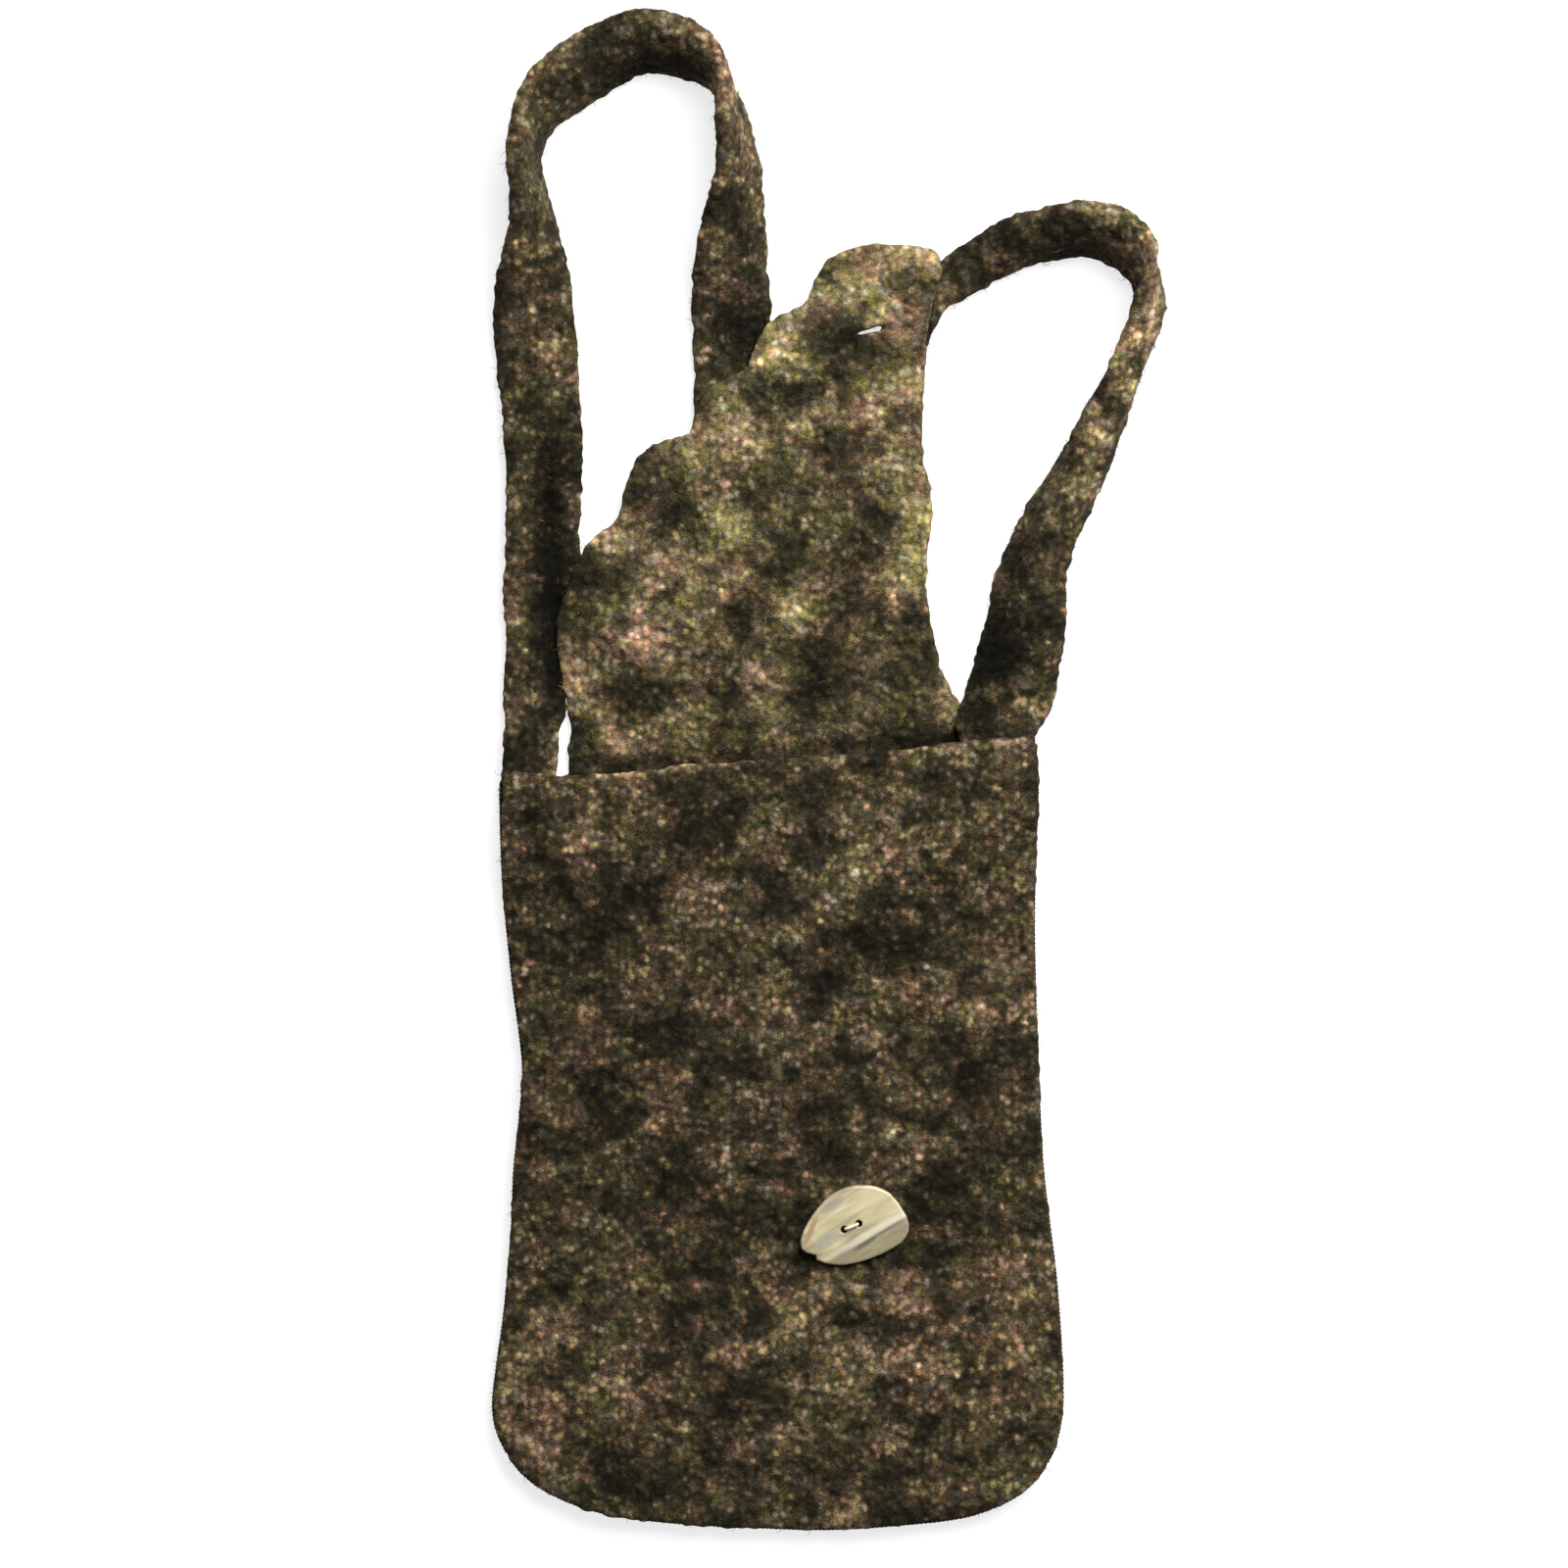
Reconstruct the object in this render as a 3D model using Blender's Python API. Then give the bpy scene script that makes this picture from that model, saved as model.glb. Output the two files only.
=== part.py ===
"""A felted wool crossbody pouch, laid flat on its back with the flap open.

+X is to the right, +Y runs up from the pouch to the flap and the strap, +Z is up off the table.
Two felt panels make the pouch. The back one goes on as the flap, and one long strap is sewn in
at both corners of the mouth and lies in two loops that pass under the flap. A horn button is
sewn to the front.
"""

import math

import bmesh
import bpy
from mathutils import Matrix, Vector

MM = 0.001

# Felt
FELT = 4.5 * MM  # thickness of the panels
FELT_ROUND = 2.0 * MM  # rounding of a felted edge
CREASE = math.radians(50)  # edges sharper than this stay sharp
SEAT = 0.3 * MM  # gap between pieces that touch
PANEL_PITCH = 15.0 * MM  # spacing of the panels' mesh lines

# Pouch
BODY_HALF_WIDTH = 109.0 * MM  # at the mouth
BODY_DEPTH = 309.0 * MM  # from the mouth down to the bottom
BODY_CENTRE_X = -24.5 * MM
RIM_LOW = 3.0 * MM  # how far the front rim dips below the mouth line at its lowest
RIM_RISE = 16.2 * MM  # how far the front rim climbs from left to right
FULLNESS = 6.0 * MM  # how far the front panel stands off the back in the middle
FULLNESS_ACROSS = 2.2  # power by which the fullness falls towards the sides
FULLNESS_DOWN = 3  # power by which it falls towards the bottom
BOTTOM_FROM = 0.9  # share of the depth below which the seam is the bottom seam
FOLD_HEIGHT = 16.0 * MM  # the back panel's tongue, up to the flap's fold

# Flap
FLAP_LENGTH = 197.0 * MM
FLAP_EASE = 0.6 * MM  # room between the flap and the strap under it
FLAP_RAMP = 46.0 * MM  # length over which the flap climbs on to the strap
FLAP_AXIS_Y = 4.0 * MM  # the line that the flap turns about, over the front rim
FLAP_AXIS_Z = 12.0 * MM
SLIT_LENGTH = 23.0 * MM
SLIT_WIDTH = 3.2 * MM
SLIT_TURN = math.radians(14)
SLIT_SHOULDER = 0.8  # share of the slit's width that it has halfway to its ends

# Strap
STRAP_WIDTH = 31.0 * MM
STRAP_THICKNESS = 6.5 * MM
STRAP_BULGE = 2.0 / 3.0  # power that squares up the strap's oval cross-section
STRAP_CREASE = 0.5  # share of the half width over which a lengthwise fold bends the strap
STRAP_DROP = 0.5 * MM  # of the line that the strap swings about, below the back panel
LEFT_END_WIDTH = 21.5 * MM
RIGHT_END_WIDTH = 27.5 * MM
END_INSET = 1.0 * MM  # of a strap end from the pouch's side
END_DEPTH = 26.0 * MM  # of a strap end inside the mouth
SLOT_WIDTH = 5.6 * MM  # between the left strap end and the flap
ROOT_EASE = 1.2 * MM  # between the right strap end and the flap
LEFT_LOOP_WIDTH = 86.0 * MM
LEFT_LOOP_HEIGHT = 280.0 * MM
RIGHT_LOOP_WIDTH = 82.0 * MM
RIGHT_LOOP_HEIGHT = 204.0 * MM
UNDER_DIP = 80.0 * MM  # of the hidden stretch of strap between the loops

# Sewing yarn
YARN_RADIUS = 0.9 * MM
STITCH_RADIUS = 1.1 * MM

# Button
BUTTON_LENGTH = 44.6 * MM
BUTTON_WIDTH = 30.8 * MM
BUTTON_THICKNESS = 4.8 * MM
BUTTON_ROUND = 0.9 * MM
BUTTON_PITCH = 3.4 * MM
BUTTON_TURN = math.radians(22)
BUTTON_DISH = 0.7 * MM  # of the face round the sewing holes
DISH_LENGTH = 0.45  # shares of the button's length and width that the dish reaches out to
DISH_WIDTH = 0.38
FACET_FALL = 6.8 * MM  # of the facet over one width of the button
FACET_FROM = 0.18  # share of the width from the middle to the facet's ridge
FACET_TURN = math.radians(8)
HOLE_SPACING = 6.4 * MM
HOLE_RADIUS = 1.5 * MM
THREAD_RADIUS = 0.6 * MM
THREAD_CURL = 0.96 * MM  # radius of the cord's turn into a hole

TUBE_SIDES = 10
BAND_SIDES = 14
CURL_STEPS = 3
OVERRUN = 4.0 * MM  # of a cutter past the piece that it cuts

# Outline of the pouch below its rim, clockwise from the right end of the mouth.
# Each point is (share of the half width from the centre line, share of the depth).
body_outline_shares = (
    (1.0, 0.02), (0.985, 0.19), (0.996, 0.356), (1.018, 0.524), (1.066, 0.667), (1.092, 0.81),
    (1.077, 0.874), (1.029, 0.918), (0.93, 0.955), (0.754, 0.982), (0.534, 0.993), (0.24, 1.0),
    (-0.02, 0.998), (-0.31, 0.993), (-0.604, 0.98), (-0.8, 0.956), (-0.925, 0.925),
    (-1.0, 0.883), (-1.026, 0.832), (-0.989, 0.731), (-0.958, 0.621), (-0.946, 0.524),
    (-0.914, 0.4), (-0.949, 0.291), (-0.989, 0.149), (-1.0, 0.02),
)
# The front rim, left to right: (share of the half width, share of the rise).
rim_shares = (
    (-1.0, 0.06), (-0.82, 0.0), (-0.6, 0.03), (-0.31, 0.24), (0.06, 0.41), (0.43, 0.61),
    (0.79, 0.87), (1.0, 1.0),
)
# The flap's stepped edge, from the left end of the fold round to the right end.
# Each point is (share of the fold's length, share of the flap's length).
flap_outline_shares = (
    (0.0, 0.0), (-0.008, 0.06), (-0.018, 0.11), (-0.028, 0.165), (-0.029, 0.22), (-0.019, 0.262),
    (0.0, 0.3), (0.024, 0.355), (0.064, 0.398), (0.112, 0.422), (0.13, 0.452), (0.146, 0.51),
    (0.172, 0.56), (0.21, 0.585), (0.258, 0.598), (0.306, 0.608), (0.318, 0.655), (0.34, 0.69),
    (0.383, 0.715), (0.425, 0.73),
    (0.458, 0.748), (0.472, 0.79), (0.5, 0.832), (0.547, 0.858), (0.588, 0.87), (0.61, 0.89),
    (0.626, 0.935), (0.655, 0.97), (0.7, 0.99), (0.77, 1.0), (0.85, 0.998), (0.925, 0.987),
    (0.936, 0.94), (0.918, 0.89), (0.906, 0.83), (0.895, 0.74), (0.889, 0.62), (0.893, 0.55),
    (0.912, 0.5), (0.916, 0.43), (0.903, 0.35), (0.902, 0.28), (0.917, 0.2), (0.938, 0.125),
    (0.965, 0.075), (0.99, 0.045), (1.0, 0.0),
)
slit_place_shares = (0.757, 0.822)

# The strap, as stations along it. The left leg and the right leg are given by their inner edge,
# which keeps clear of the flap, and the loops by the middle of the band. Each station is
# (share of the loop's width, share of its height, share of the strap's width, roll, fold), with
# roll and fold in degrees. Roll lifts the outer edge of the loop, stands the band on that edge at
# 90 and has turned it over at 180. Fold bends it lengthwise, into a ridge on its upper side or,
# below zero, into a trough.
left_leg_shares = (
    (0.036, 0.02, 0.8, 0, 0), (0.034, 0.05, 0.78, 0, -3), (0.019, 0.09, 0.72, 0, -6),
    (0.004, 0.13, 0.66, 0, -8), (0.003, 0.165, 0.68, 0, -10), (0.03, 0.2, 0.79, 0, -12),
    (0.07, 0.23, 0.88, 0, -13), (0.095, 0.27, 0.93, 0, -14), (0.11, 0.33, 0.98, 0, -14),
    (0.115, 0.4, 1.0, 0, -12), (0.1, 0.48, 1.03, 0, -6), (0.09, 0.55, 1.05, 0, 0),
)
left_loop_shares = (
    (0.011, 0.634, 1.0, 12, 4), (0.02, 0.689, 1.0, 40, 0), (0.016, 0.728, 1.0, 57, 0),
    (-0.003, 0.77, 1.0, 69, 0), (-0.026, 0.813, 1.0, 75, 0), (-0.021, 0.849, 1.0, 73, 0),
    (0.016, 0.886, 1.0, 62, 6), (0.09, 0.92, 1.045, 50, 10), (0.197, 0.947, 1.03, 43, 14),
    (0.332, 0.975, 1.03, 40, 15), (0.458, 0.995, 1.04, 43, 17), (0.588, 1.0, 1.065, 46, 18),
    (0.723, 0.989, 1.065, 49, 18), (0.834, 0.966, 1.015, 62, 12), (0.906, 0.938, 0.94, 84, 0),
    (0.946, 0.902, 0.98, 102, 0), (0.969, 0.863, 1.0, 110, 0), (0.988, 0.813, 1.0, 120, 0),
    (0.965, 0.742, 1.0, 138, 0), (0.951, 0.678, 1.0, 157, 0), (0.951, 0.635, 1.0, 174, 0),
    (0.951, 0.59, 1.0, 180, 0), (0.955, 0.506, 0.97, 180, 0),
)
# Under the flap: (share of the way from one loop to the other, share of the dip).
under_flap_shares = (
    (0.005, 0.2), (0.05, 0.47), (0.167, 0.75), (0.394, 0.97), (0.611, 0.966), (0.737, 0.77),
    (0.803, 0.5), (0.864, 0.2),
)
right_loop_shares = (
    (-0.2, 0.865, 0.56, 180, 0), (-0.054, 0.9, 0.56, 180, 0), (0.093, 0.94, 0.64, 200, 10),
    (0.302, 0.979, 0.855, 226, 18), (0.585, 0.998, 0.955, 228, 18), (0.737, 0.983, 1.03, 230, 16),
    (0.849, 0.942, 1.075, 242, 10), (0.902, 0.871, 0.96, 274, 26), (0.888, 0.816, 0.9, 287, 24),
    (0.839, 0.773, 0.86, 291, 22), (0.756, 0.69, 0.82, 296, 24), (0.683, 0.62, 0.8, 325, 44),
    (0.595, 0.541, 0.86, 350, 47), (0.498, 0.465, 0.88, 368, 40),
)
right_leg_shares = (
    (0.229, 0.375, 0.93, 375, 31), (0.151, 0.3, 0.98, 375, 26), (0.098, 0.208, 1.08, 371, 18),
    (0.029, 0.093, 1.12, 364, 9), (0.0, 0.02, 1.0, 360, 0),
)

# The button's egg outline, from its blunt end round: (share of the length, share of the width).
button_outline_shares = (
    (0.49, -0.055), (0.479, 0.05), (0.44, 0.215), (0.394, 0.298), (0.344, 0.366), (0.288, 0.418),
    (0.166, 0.487), (0.084, 0.502), (0.0, 0.502), (-0.076, 0.485), (-0.155, 0.444), (-0.227, 0.392),
    (-0.294, 0.33), (-0.363, 0.259), (-0.42, 0.189), (-0.466, 0.112), (-0.492, 0.045),
    (-0.498, -0.035), (-0.47, -0.1), (-0.4, -0.175), (-0.412, -0.235), (-0.343, -0.328),
    (-0.265, -0.395), (-0.19, -0.441), (-0.087, -0.473), (0.045, -0.494), (0.165, -0.492),
    (0.277, -0.476), (0.365, -0.45), (0.426, -0.404), (0.468, -0.343), (0.494, -0.255), (0.5, -0.15),
)
button_place_shares = (0.3065, 0.6006)  # on the front: share of the half width, share of the depth

SEAM_Z = FELT + SEAT / 2  # level at which the two panels meet
END_TOP = FELT + SEAT + FELT  # upper face of a strap end between the panels
LEFT_SIDE_X = BODY_CENTRE_X - BODY_HALF_WIDTH
RIGHT_SIDE_X = BODY_CENTRE_X + BODY_HALF_WIDTH
LEFT_INNER_X = LEFT_SIDE_X + END_INSET + LEFT_END_WIDTH
RIGHT_INNER_X = RIGHT_SIDE_X - END_INSET - RIGHT_END_WIDTH
FLAP_LEFT_X = LEFT_INNER_X + SLOT_WIDTH
FLAP_RIGHT_X = RIGHT_INNER_X - ROOT_EASE
FLAP_WIDTH = FLAP_RIGHT_X - FLAP_LEFT_X
FLAP_AXIS = Vector((BODY_CENTRE_X, FLAP_AXIS_Y, FLAP_AXIS_Z))
STRAP_AXIS = Vector((BODY_CENTRE_X, FOLD_HEIGHT, -STRAP_DROP))


def smooth_step(value):
    value = min(1.0, max(0.0, value))
    return value * value * (3.0 - 2.0 * value)


def catmull(before, start, end, after, share):
    """Point on the smooth curve between start and end, by their neighbours."""
    square, cube = share**2, share**3
    return (
        start * (2.0 - 5.0 * square + 3.0 * cube)
        + before * (2.0 * square - cube - share)
        + end * (share + 4.0 * square - 3.0 * cube)
        + after * (cube - square)
    ) / 2.0


def smoothed(points, steps, closed=False):
    """The points with steps - 1 more between each two, on a smooth curve through them."""
    count = len(points)
    found = []
    for index in range(count if closed else count - 1):
        picks = [index - 1, index, index + 1, index + 2]
        if closed:
            picks = [pick % count for pick in picks]
        else:
            picks = [min(count - 1, max(0, pick)) for pick in picks]
        before, start, end, after = (Vector(points[pick]) for pick in picks)
        found += [catmull(before, start, end, after, step / steps) for step in range(steps)]
    if not closed:
        found.append(Vector(points[-1]))
    return found


def make_material(name, colour, roughness):
    material = bpy.data.materials.new(name)
    material.use_nodes = True
    shader = material.node_tree.nodes["Principled BSDF"]
    shader.inputs["Base Color"].default_value = (*colour, 1.0)
    shader.inputs["Roughness"].default_value = roughness
    shader.inputs["Metallic"].default_value = 0.0
    return material


def finish_mesh(name, bm, material, origin=None):
    """Turns the bmesh into a piece, whose origin is at the line that it turns about."""
    origin = origin or Vector()
    bmesh.ops.recalc_face_normals(bm, faces=bm.faces)
    bmesh.ops.translate(bm, vec=-origin, verts=bm.verts)
    mesh = bpy.data.meshes.new(name)
    bm.to_mesh(mesh)
    bm.free()
    mesh.shade_smooth()
    mesh.set_sharp_from_angle(angle=CREASE)
    mesh.materials.append(material)
    piece = bpy.data.objects.new(name, mesh)
    piece.location = origin
    bpy.context.scene.collection.objects.link(piece)
    return piece


def add_cutter(piece, bm, name):
    """A hidden shape that the piece is cut with."""
    cutter = finish_mesh(name, bm, piece.data.materials[0])
    cutter.hide_render = True
    cutter.display_type = "WIRE"
    cut = piece.modifiers.new(name, "BOOLEAN")
    cut.operation = "DIFFERENCE"
    cut.solver = "EXACT"
    cut.object = cutter


def slab(outline, thickness, rounding, pitch):
    """A flat slab with rounded edges, crossed by mesh lines so that it can be shaped."""
    bm = bmesh.new()
    face = bm.faces.new([bm.verts.new((point[0], point[1], 0.0)) for point in outline])
    walls = bmesh.ops.extrude_face_region(bm, geom=[face])["geom"]
    raised = [item for item in walls if isinstance(item, bmesh.types.BMVert)]
    bmesh.ops.translate(bm, vec=(0.0, 0.0, thickness), verts=raised)
    bmesh.ops.recalc_face_normals(bm, faces=bm.faces)
    rims = [edge for edge in bm.edges if abs(edge.verts[0].co.z - edge.verts[1].co.z) < rounding]
    bmesh.ops.bevel(
        bm, geom=rims, offset=rounding, segments=2, profile=0.5, affect="EDGES", material=-1
    )
    for axis in (Vector((1.0, 0.0, 0.0)), Vector((0.0, 1.0, 0.0))):
        places = [vertex.co.dot(axis) for vertex in bm.verts]
        low, high = min(places), max(places)
        lines = max(2, round((high - low) / pitch))
        for line in range(1, lines):
            place = low + (high - low) * line / lines
            geometry = bm.verts[:] + bm.edges[:] + bm.faces[:]
            bmesh.ops.bisect_plane(bm, geom=geometry, plane_co=axis * place, plane_no=axis)
    bmesh.ops.remove_doubles(bm, verts=bm.verts, dist=rounding / 10)
    return bm


def lift(bm, height):
    """Shears the slab up by height(x, y) at each point."""
    for vertex in bm.verts:
        vertex.co.z += height(vertex.co.x, vertex.co.y)


def cross_section(sides, half_width, half_thickness, roll=0.0, fold=0.0):
    """Corners of a rounded oblong, folded and then rolled: (to its side, up) from its middle."""
    corners = []
    for step in range(sides):
        turn = math.tau * (step + 0.5) / sides
        across, through = math.cos(turn), math.sin(turn)
        across = math.copysign(abs(across) ** STRAP_BULGE, across)
        through = math.copysign(abs(through) ** STRAP_BULGE, through) * half_thickness
        lean = fold * max(-1.0, min(1.0, across / STRAP_CREASE))
        out = half_width * across
        aside = out * math.cos(lean) + through * math.sin(lean)
        above = through * math.cos(lean) - out * math.sin(lean)
        corners.append((
            aside * math.cos(roll) - above * math.sin(roll),
            aside * math.sin(roll) + above * math.cos(roll),
        ))
    return corners


def ring(bm, centre, side, up, corners):
    """One cross-section of a band as a loop of edges."""
    points = [bm.verts.new(centre + side * aside + up * above) for aside, above in corners]
    return [bm.edges.new((points[step - 1], points[step])) for step in range(len(points))]


def band(rings_of, bm):
    """Joins the rings in turn and closes both ends."""
    for first, second in zip(rings_of, rings_of[1:]):
        bmesh.ops.bridge_loops(bm, edges=first + second)
    for end in (rings_of[0], rings_of[-1]):
        bmesh.ops.contextual_create(bm, geom=end)


def yarn(name, points, radius, material):
    curve = bpy.data.curves.new(name, "CURVE")
    curve.dimensions = "3D"
    curve.bevel_depth = radius
    curve.bevel_resolution = 1
    curve.use_fill_caps = True
    spline = curve.splines.new("POLY")
    spline.points.add(len(points) - 1)
    for place, point in zip(spline.points, points):
        place.co = (*point, 1.0)
    curve.materials.append(material)
    bpy.context.scene.collection.objects.link(bpy.data.objects.new(name, curve))


def body_points():
    """The pouch's outline below the rim, smoothed, from the right end of the mouth."""
    points = [
        (BODY_CENTRE_X + BODY_HALF_WIDTH * across, -BODY_DEPTH * down, 0.0)
        for across, down in body_outline_shares
    ]
    return smoothed(points, 2)


def rim_y(across):
    """Height of the front rim at a share of the half width from the centre line."""
    across = min(rim_shares[-1][0], max(rim_shares[0][0], across))
    for (left, low), (right, high) in zip(rim_shares, rim_shares[1:]):
        if across <= right:
            share = low + (high - low) * (across - left) / (right - left)
            return RIM_RISE * share - RIM_LOW
    return RIM_RISE - RIM_LOW


def front_height(x, y):
    """Level of the front panel's inner face."""
    across = (x - BODY_CENTRE_X) / BODY_HALF_WIDTH
    down = min(1.0, max(0.0, -y / BODY_DEPTH))
    below = (rim_y(across) - y - END_DEPTH) / END_DEPTH
    opened = (END_TOP - FELT) * (1.0 - smooth_step(below))
    full = max(0.0, 1.0 - abs(across) ** FULLNESS_ACROSS) * (1.0 - down**FULLNESS_DOWN)
    return FELT + SEAT + opened + (FULLNESS - opened) * full


def make_front_panel(felt):
    rim = [
        Vector((BODY_CENTRE_X + BODY_HALF_WIDTH * across, rim_y(across), 0.0))
        for across, _ in rim_shares
    ]
    bm = slab(body_points() + rim, FELT, FELT_ROUND, PANEL_PITCH)
    lift(bm, front_height)
    return finish_mesh("front_panel", bm, felt)


def make_back_panel(felt):
    """The back panel, whose tongue between the strap ends reaches up to the flap's fold."""
    corner = FELT_ROUND * 2
    outline = body_points()
    left, right = outline[-1], outline[0]
    outline += [
        Vector((left.x, rim_y(-1.0) - FELT_ROUND, 0.0)),
        Vector((FLAP_LEFT_X - corner, rim_y(-1.0) - FELT_ROUND, 0.0)),
        Vector((FLAP_LEFT_X, rim_y(-1.0), 0.0)),
        Vector((FLAP_LEFT_X, FOLD_HEIGHT, 0.0)),
        Vector((FLAP_RIGHT_X, FOLD_HEIGHT, 0.0)),
        Vector((FLAP_RIGHT_X, rim_y(1.0), 0.0)),
        Vector((right.x, rim_y(1.0) - FELT_ROUND, 0.0)),
    ]
    bm = slab(outline, FELT, FELT_ROUND, PANEL_PITCH * 2)
    finish_mesh("back_panel", bm, felt)


def strap_section(half, thickness, roll, fold):
    """A cross-section of the strap, centred from side to side and resting on its lowest point."""
    corners = cross_section(BAND_SIDES, half, thickness / 2, roll, fold)
    sideways = [aside for aside, _ in corners]
    middle = (min(sideways) + max(sideways)) / 2
    lowest = min(above for _, above in corners)
    return [(aside - middle, above - lowest) for aside, above in corners]


def strap_stations():
    """The strap from its left end to its right: (place, half width, roll, fold)."""
    found = []
    left_x, right_x = LEFT_INNER_X, RIGHT_INNER_X
    start = FOLD_HEIGHT + SEAT

    def station(x, y, width_share, roll_degrees, fold_degrees, edge):
        roll = math.radians(roll_degrees)
        ridge = math.copysign(math.radians(fold_degrees), fold_degrees * math.cos(roll))
        half = STRAP_WIDTH * width_share / 2
        reach = max(aside for aside, _ in strap_section(half, STRAP_THICKNESS, roll, ridge))
        found.append((Vector((x + edge * reach, y, 0.0)), half, roll, ridge))

    for across, up, width, roll, fold in left_leg_shares:
        x, y = left_x + LEFT_LOOP_WIDTH * across, start + LEFT_LOOP_HEIGHT * up
        station(x, y, width, roll, fold, -1)
    for across, up, width, roll, fold in left_loop_shares:
        x = left_x - LEFT_END_WIDTH / 2 + LEFT_LOOP_WIDTH * across
        station(x, start + LEFT_LOOP_HEIGHT * up, width, roll, fold, 0)
    entry = found[-1][0]
    first = right_loop_shares[0]
    leave = Vector((
        right_x + RIGHT_LOOP_WIDTH * first[0], start + RIGHT_LOOP_HEIGHT * first[1], 0.0
    ))
    for along, dip in under_flap_shares:
        point = entry.lerp(leave, along)
        width = left_loop_shares[-1][2] + (first[2] - left_loop_shares[-1][2]) * along
        station(point.x, point.y - UNDER_DIP * dip, width, first[3], 0, 0)
    for edge, stations in ((0, right_loop_shares), (1, right_leg_shares)):
        for across, up, width, roll, fold in stations:
            x, y = right_x + RIGHT_LOOP_WIDTH * across, start + RIGHT_LOOP_HEIGHT * up
            station(x, y, width, roll, fold, edge)
    return found


def make_strap(felt):
    """One long band: on the table at its legs, and rolled on to its edge round the loops."""
    stations = strap_stations()
    level = FELT + SEAT
    start = FOLD_HEIGHT + SEAT
    left_end, right_end = LEFT_END_WIDTH / 2, RIGHT_END_WIDTH / 2
    first = (Vector((LEFT_INNER_X - left_end, start, level)), left_end, 0.0, 0.0)
    last = (Vector((RIGHT_INNER_X + right_end, start, level)), right_end, math.tau, 0.0)
    stations = [first] + stations + [last]
    places = smoothed([place for place, _, _, _ in stations], 2)
    shapes = smoothed([shape for _, *shape in stations], 2)
    bm = bmesh.new()
    rings_of = []
    for index, (place, shape) in enumerate(zip(places, shapes)):
        ahead = places[min(index + 1, len(places) - 1)] - places[max(index - 1, 0)]
        if index in (0, len(places) - 1):
            ahead.x = 0.0
        ahead.z = 0.0
        ahead.normalize()
        left = Vector((-ahead.y, ahead.x, 0.0))
        ends = min(index, len(places) - 1 - index)
        thickness = STRAP_THICKNESS if ends else FELT
        if ends > 1:
            place.z = 0.0
        section = strap_section(shape.x, thickness, shape.y, shape.z)
        rings_of.append(ring(bm, place, left, Vector((0.0, 0.0, 1.0)), section))
    band(rings_of, bm)
    finish_mesh("strap", bm, felt, STRAP_AXIS)


def make_strap_end(name, middle_x, width, rim, felt):
    """A strap end between the two panels, from inside the mouth out to the fold line."""
    bm = bmesh.new()
    level = FELT + SEAT + FELT / 2
    side, up = Vector((1.0, 0.0, 0.0)), Vector((0.0, 0.0, 1.0))
    corners = cross_section(BAND_SIDES, width / 2, FELT / 2)
    rings_of = [
        ring(bm, Vector((middle_x, y, level)), side, up, corners)
        for y in (rim - END_DEPTH, rim - END_DEPTH / 2, rim, FOLD_HEIGHT)
    ]
    band(rings_of, bm)
    finish_mesh(name, bm, felt)


def make_strap_stitch(name, middle_x, width, rim, thread):
    """The line of overcast yarn that holds a strap end's lower edge to the back panel."""
    y = rim - END_DEPTH - SEAT - STITCH_RADIUS
    z = FELT + SEAT + STITCH_RADIUS
    ends = (middle_x - width / 2, middle_x, middle_x + width / 2)
    yarn(name, [(x, y, z) for x in ends], STITCH_RADIUS, thread)


def flap_ramp_end():
    """Height above the mouth at which the flap has to be clear of the strap under it."""
    under = strap_stations()[len(left_leg_shares) + len(left_loop_shares):]
    hidden = under[: len(under_flap_shares)]
    return min(place.y - half for place, half, _, _ in hidden) - FELT


def flap_height(y):
    climb = (y - flap_ramp_end()) / FLAP_RAMP + 1.0
    return (STRAP_THICKNESS + FLAP_EASE) * smooth_step(climb)


def make_flap(felt):
    outline = [
        Vector((FLAP_LEFT_X + FLAP_WIDTH * across, FOLD_HEIGHT + SEAT + FLAP_LENGTH * up, 0.0))
        for across, up in flap_outline_shares
    ]
    bm = slab(outline, FELT, FELT_ROUND, PANEL_PITCH)
    lift(bm, lambda x, y: flap_height(y))
    piece = finish_mesh("flap", bm, felt, FLAP_AXIS)

    slit = bmesh.new()
    half, lean = SLIT_LENGTH / 2, SLIT_WIDTH / 2
    shoulder = lean * SLIT_SHOULDER
    lens = [(-half, 0.0), (-half / 2, -shoulder), (0.0, -lean), (half / 2, -shoulder)]
    lens += [(-x, -y) for x, y in lens]
    face = slit.faces.new([slit.verts.new((x, y, 0.0)) for x, y in lens])
    walls = bmesh.ops.extrude_face_region(slit, geom=[face])["geom"]
    raised = [item for item in walls if isinstance(item, bmesh.types.BMVert)]
    top = STRAP_THICKNESS + FLAP_EASE + FELT
    bmesh.ops.translate(slit, vec=(0.0, 0.0, top + OVERRUN * 2), verts=raised)
    across, up = slit_place_shares
    place = Vector((
        FLAP_LEFT_X + FLAP_WIDTH * across, FOLD_HEIGHT + SEAT + FLAP_LENGTH * up, -OVERRUN
    ))
    turn = Matrix.Translation(place) @ Matrix.Rotation(SLIT_TURN, 4, "Z")
    bmesh.ops.transform(slit, matrix=turn, verts=slit.verts)
    add_cutter(piece, slit, "buttonhole_cutter")


def make_seam(name, points, material):
    """Seam yarn in the groove where the rounded edges of the two panels meet."""
    room = FELT_ROUND + YARN_RADIUS + SEAT
    rise = FELT_ROUND + SEAT / 2
    out = math.sqrt(room**2 - rise**2) - FELT_ROUND
    route = []
    for index, point in enumerate(points):
        ahead = points[min(index + 1, len(points) - 1)] - points[max(index - 1, 0)]
        ahead.normalize()
        outward = Vector((-ahead.y, ahead.x, 0.0))
        route.append(point + outward * out + Vector((0.0, 0.0, SEAM_Z)))
    yarn(name, route, YARN_RADIUS, material)


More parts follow.
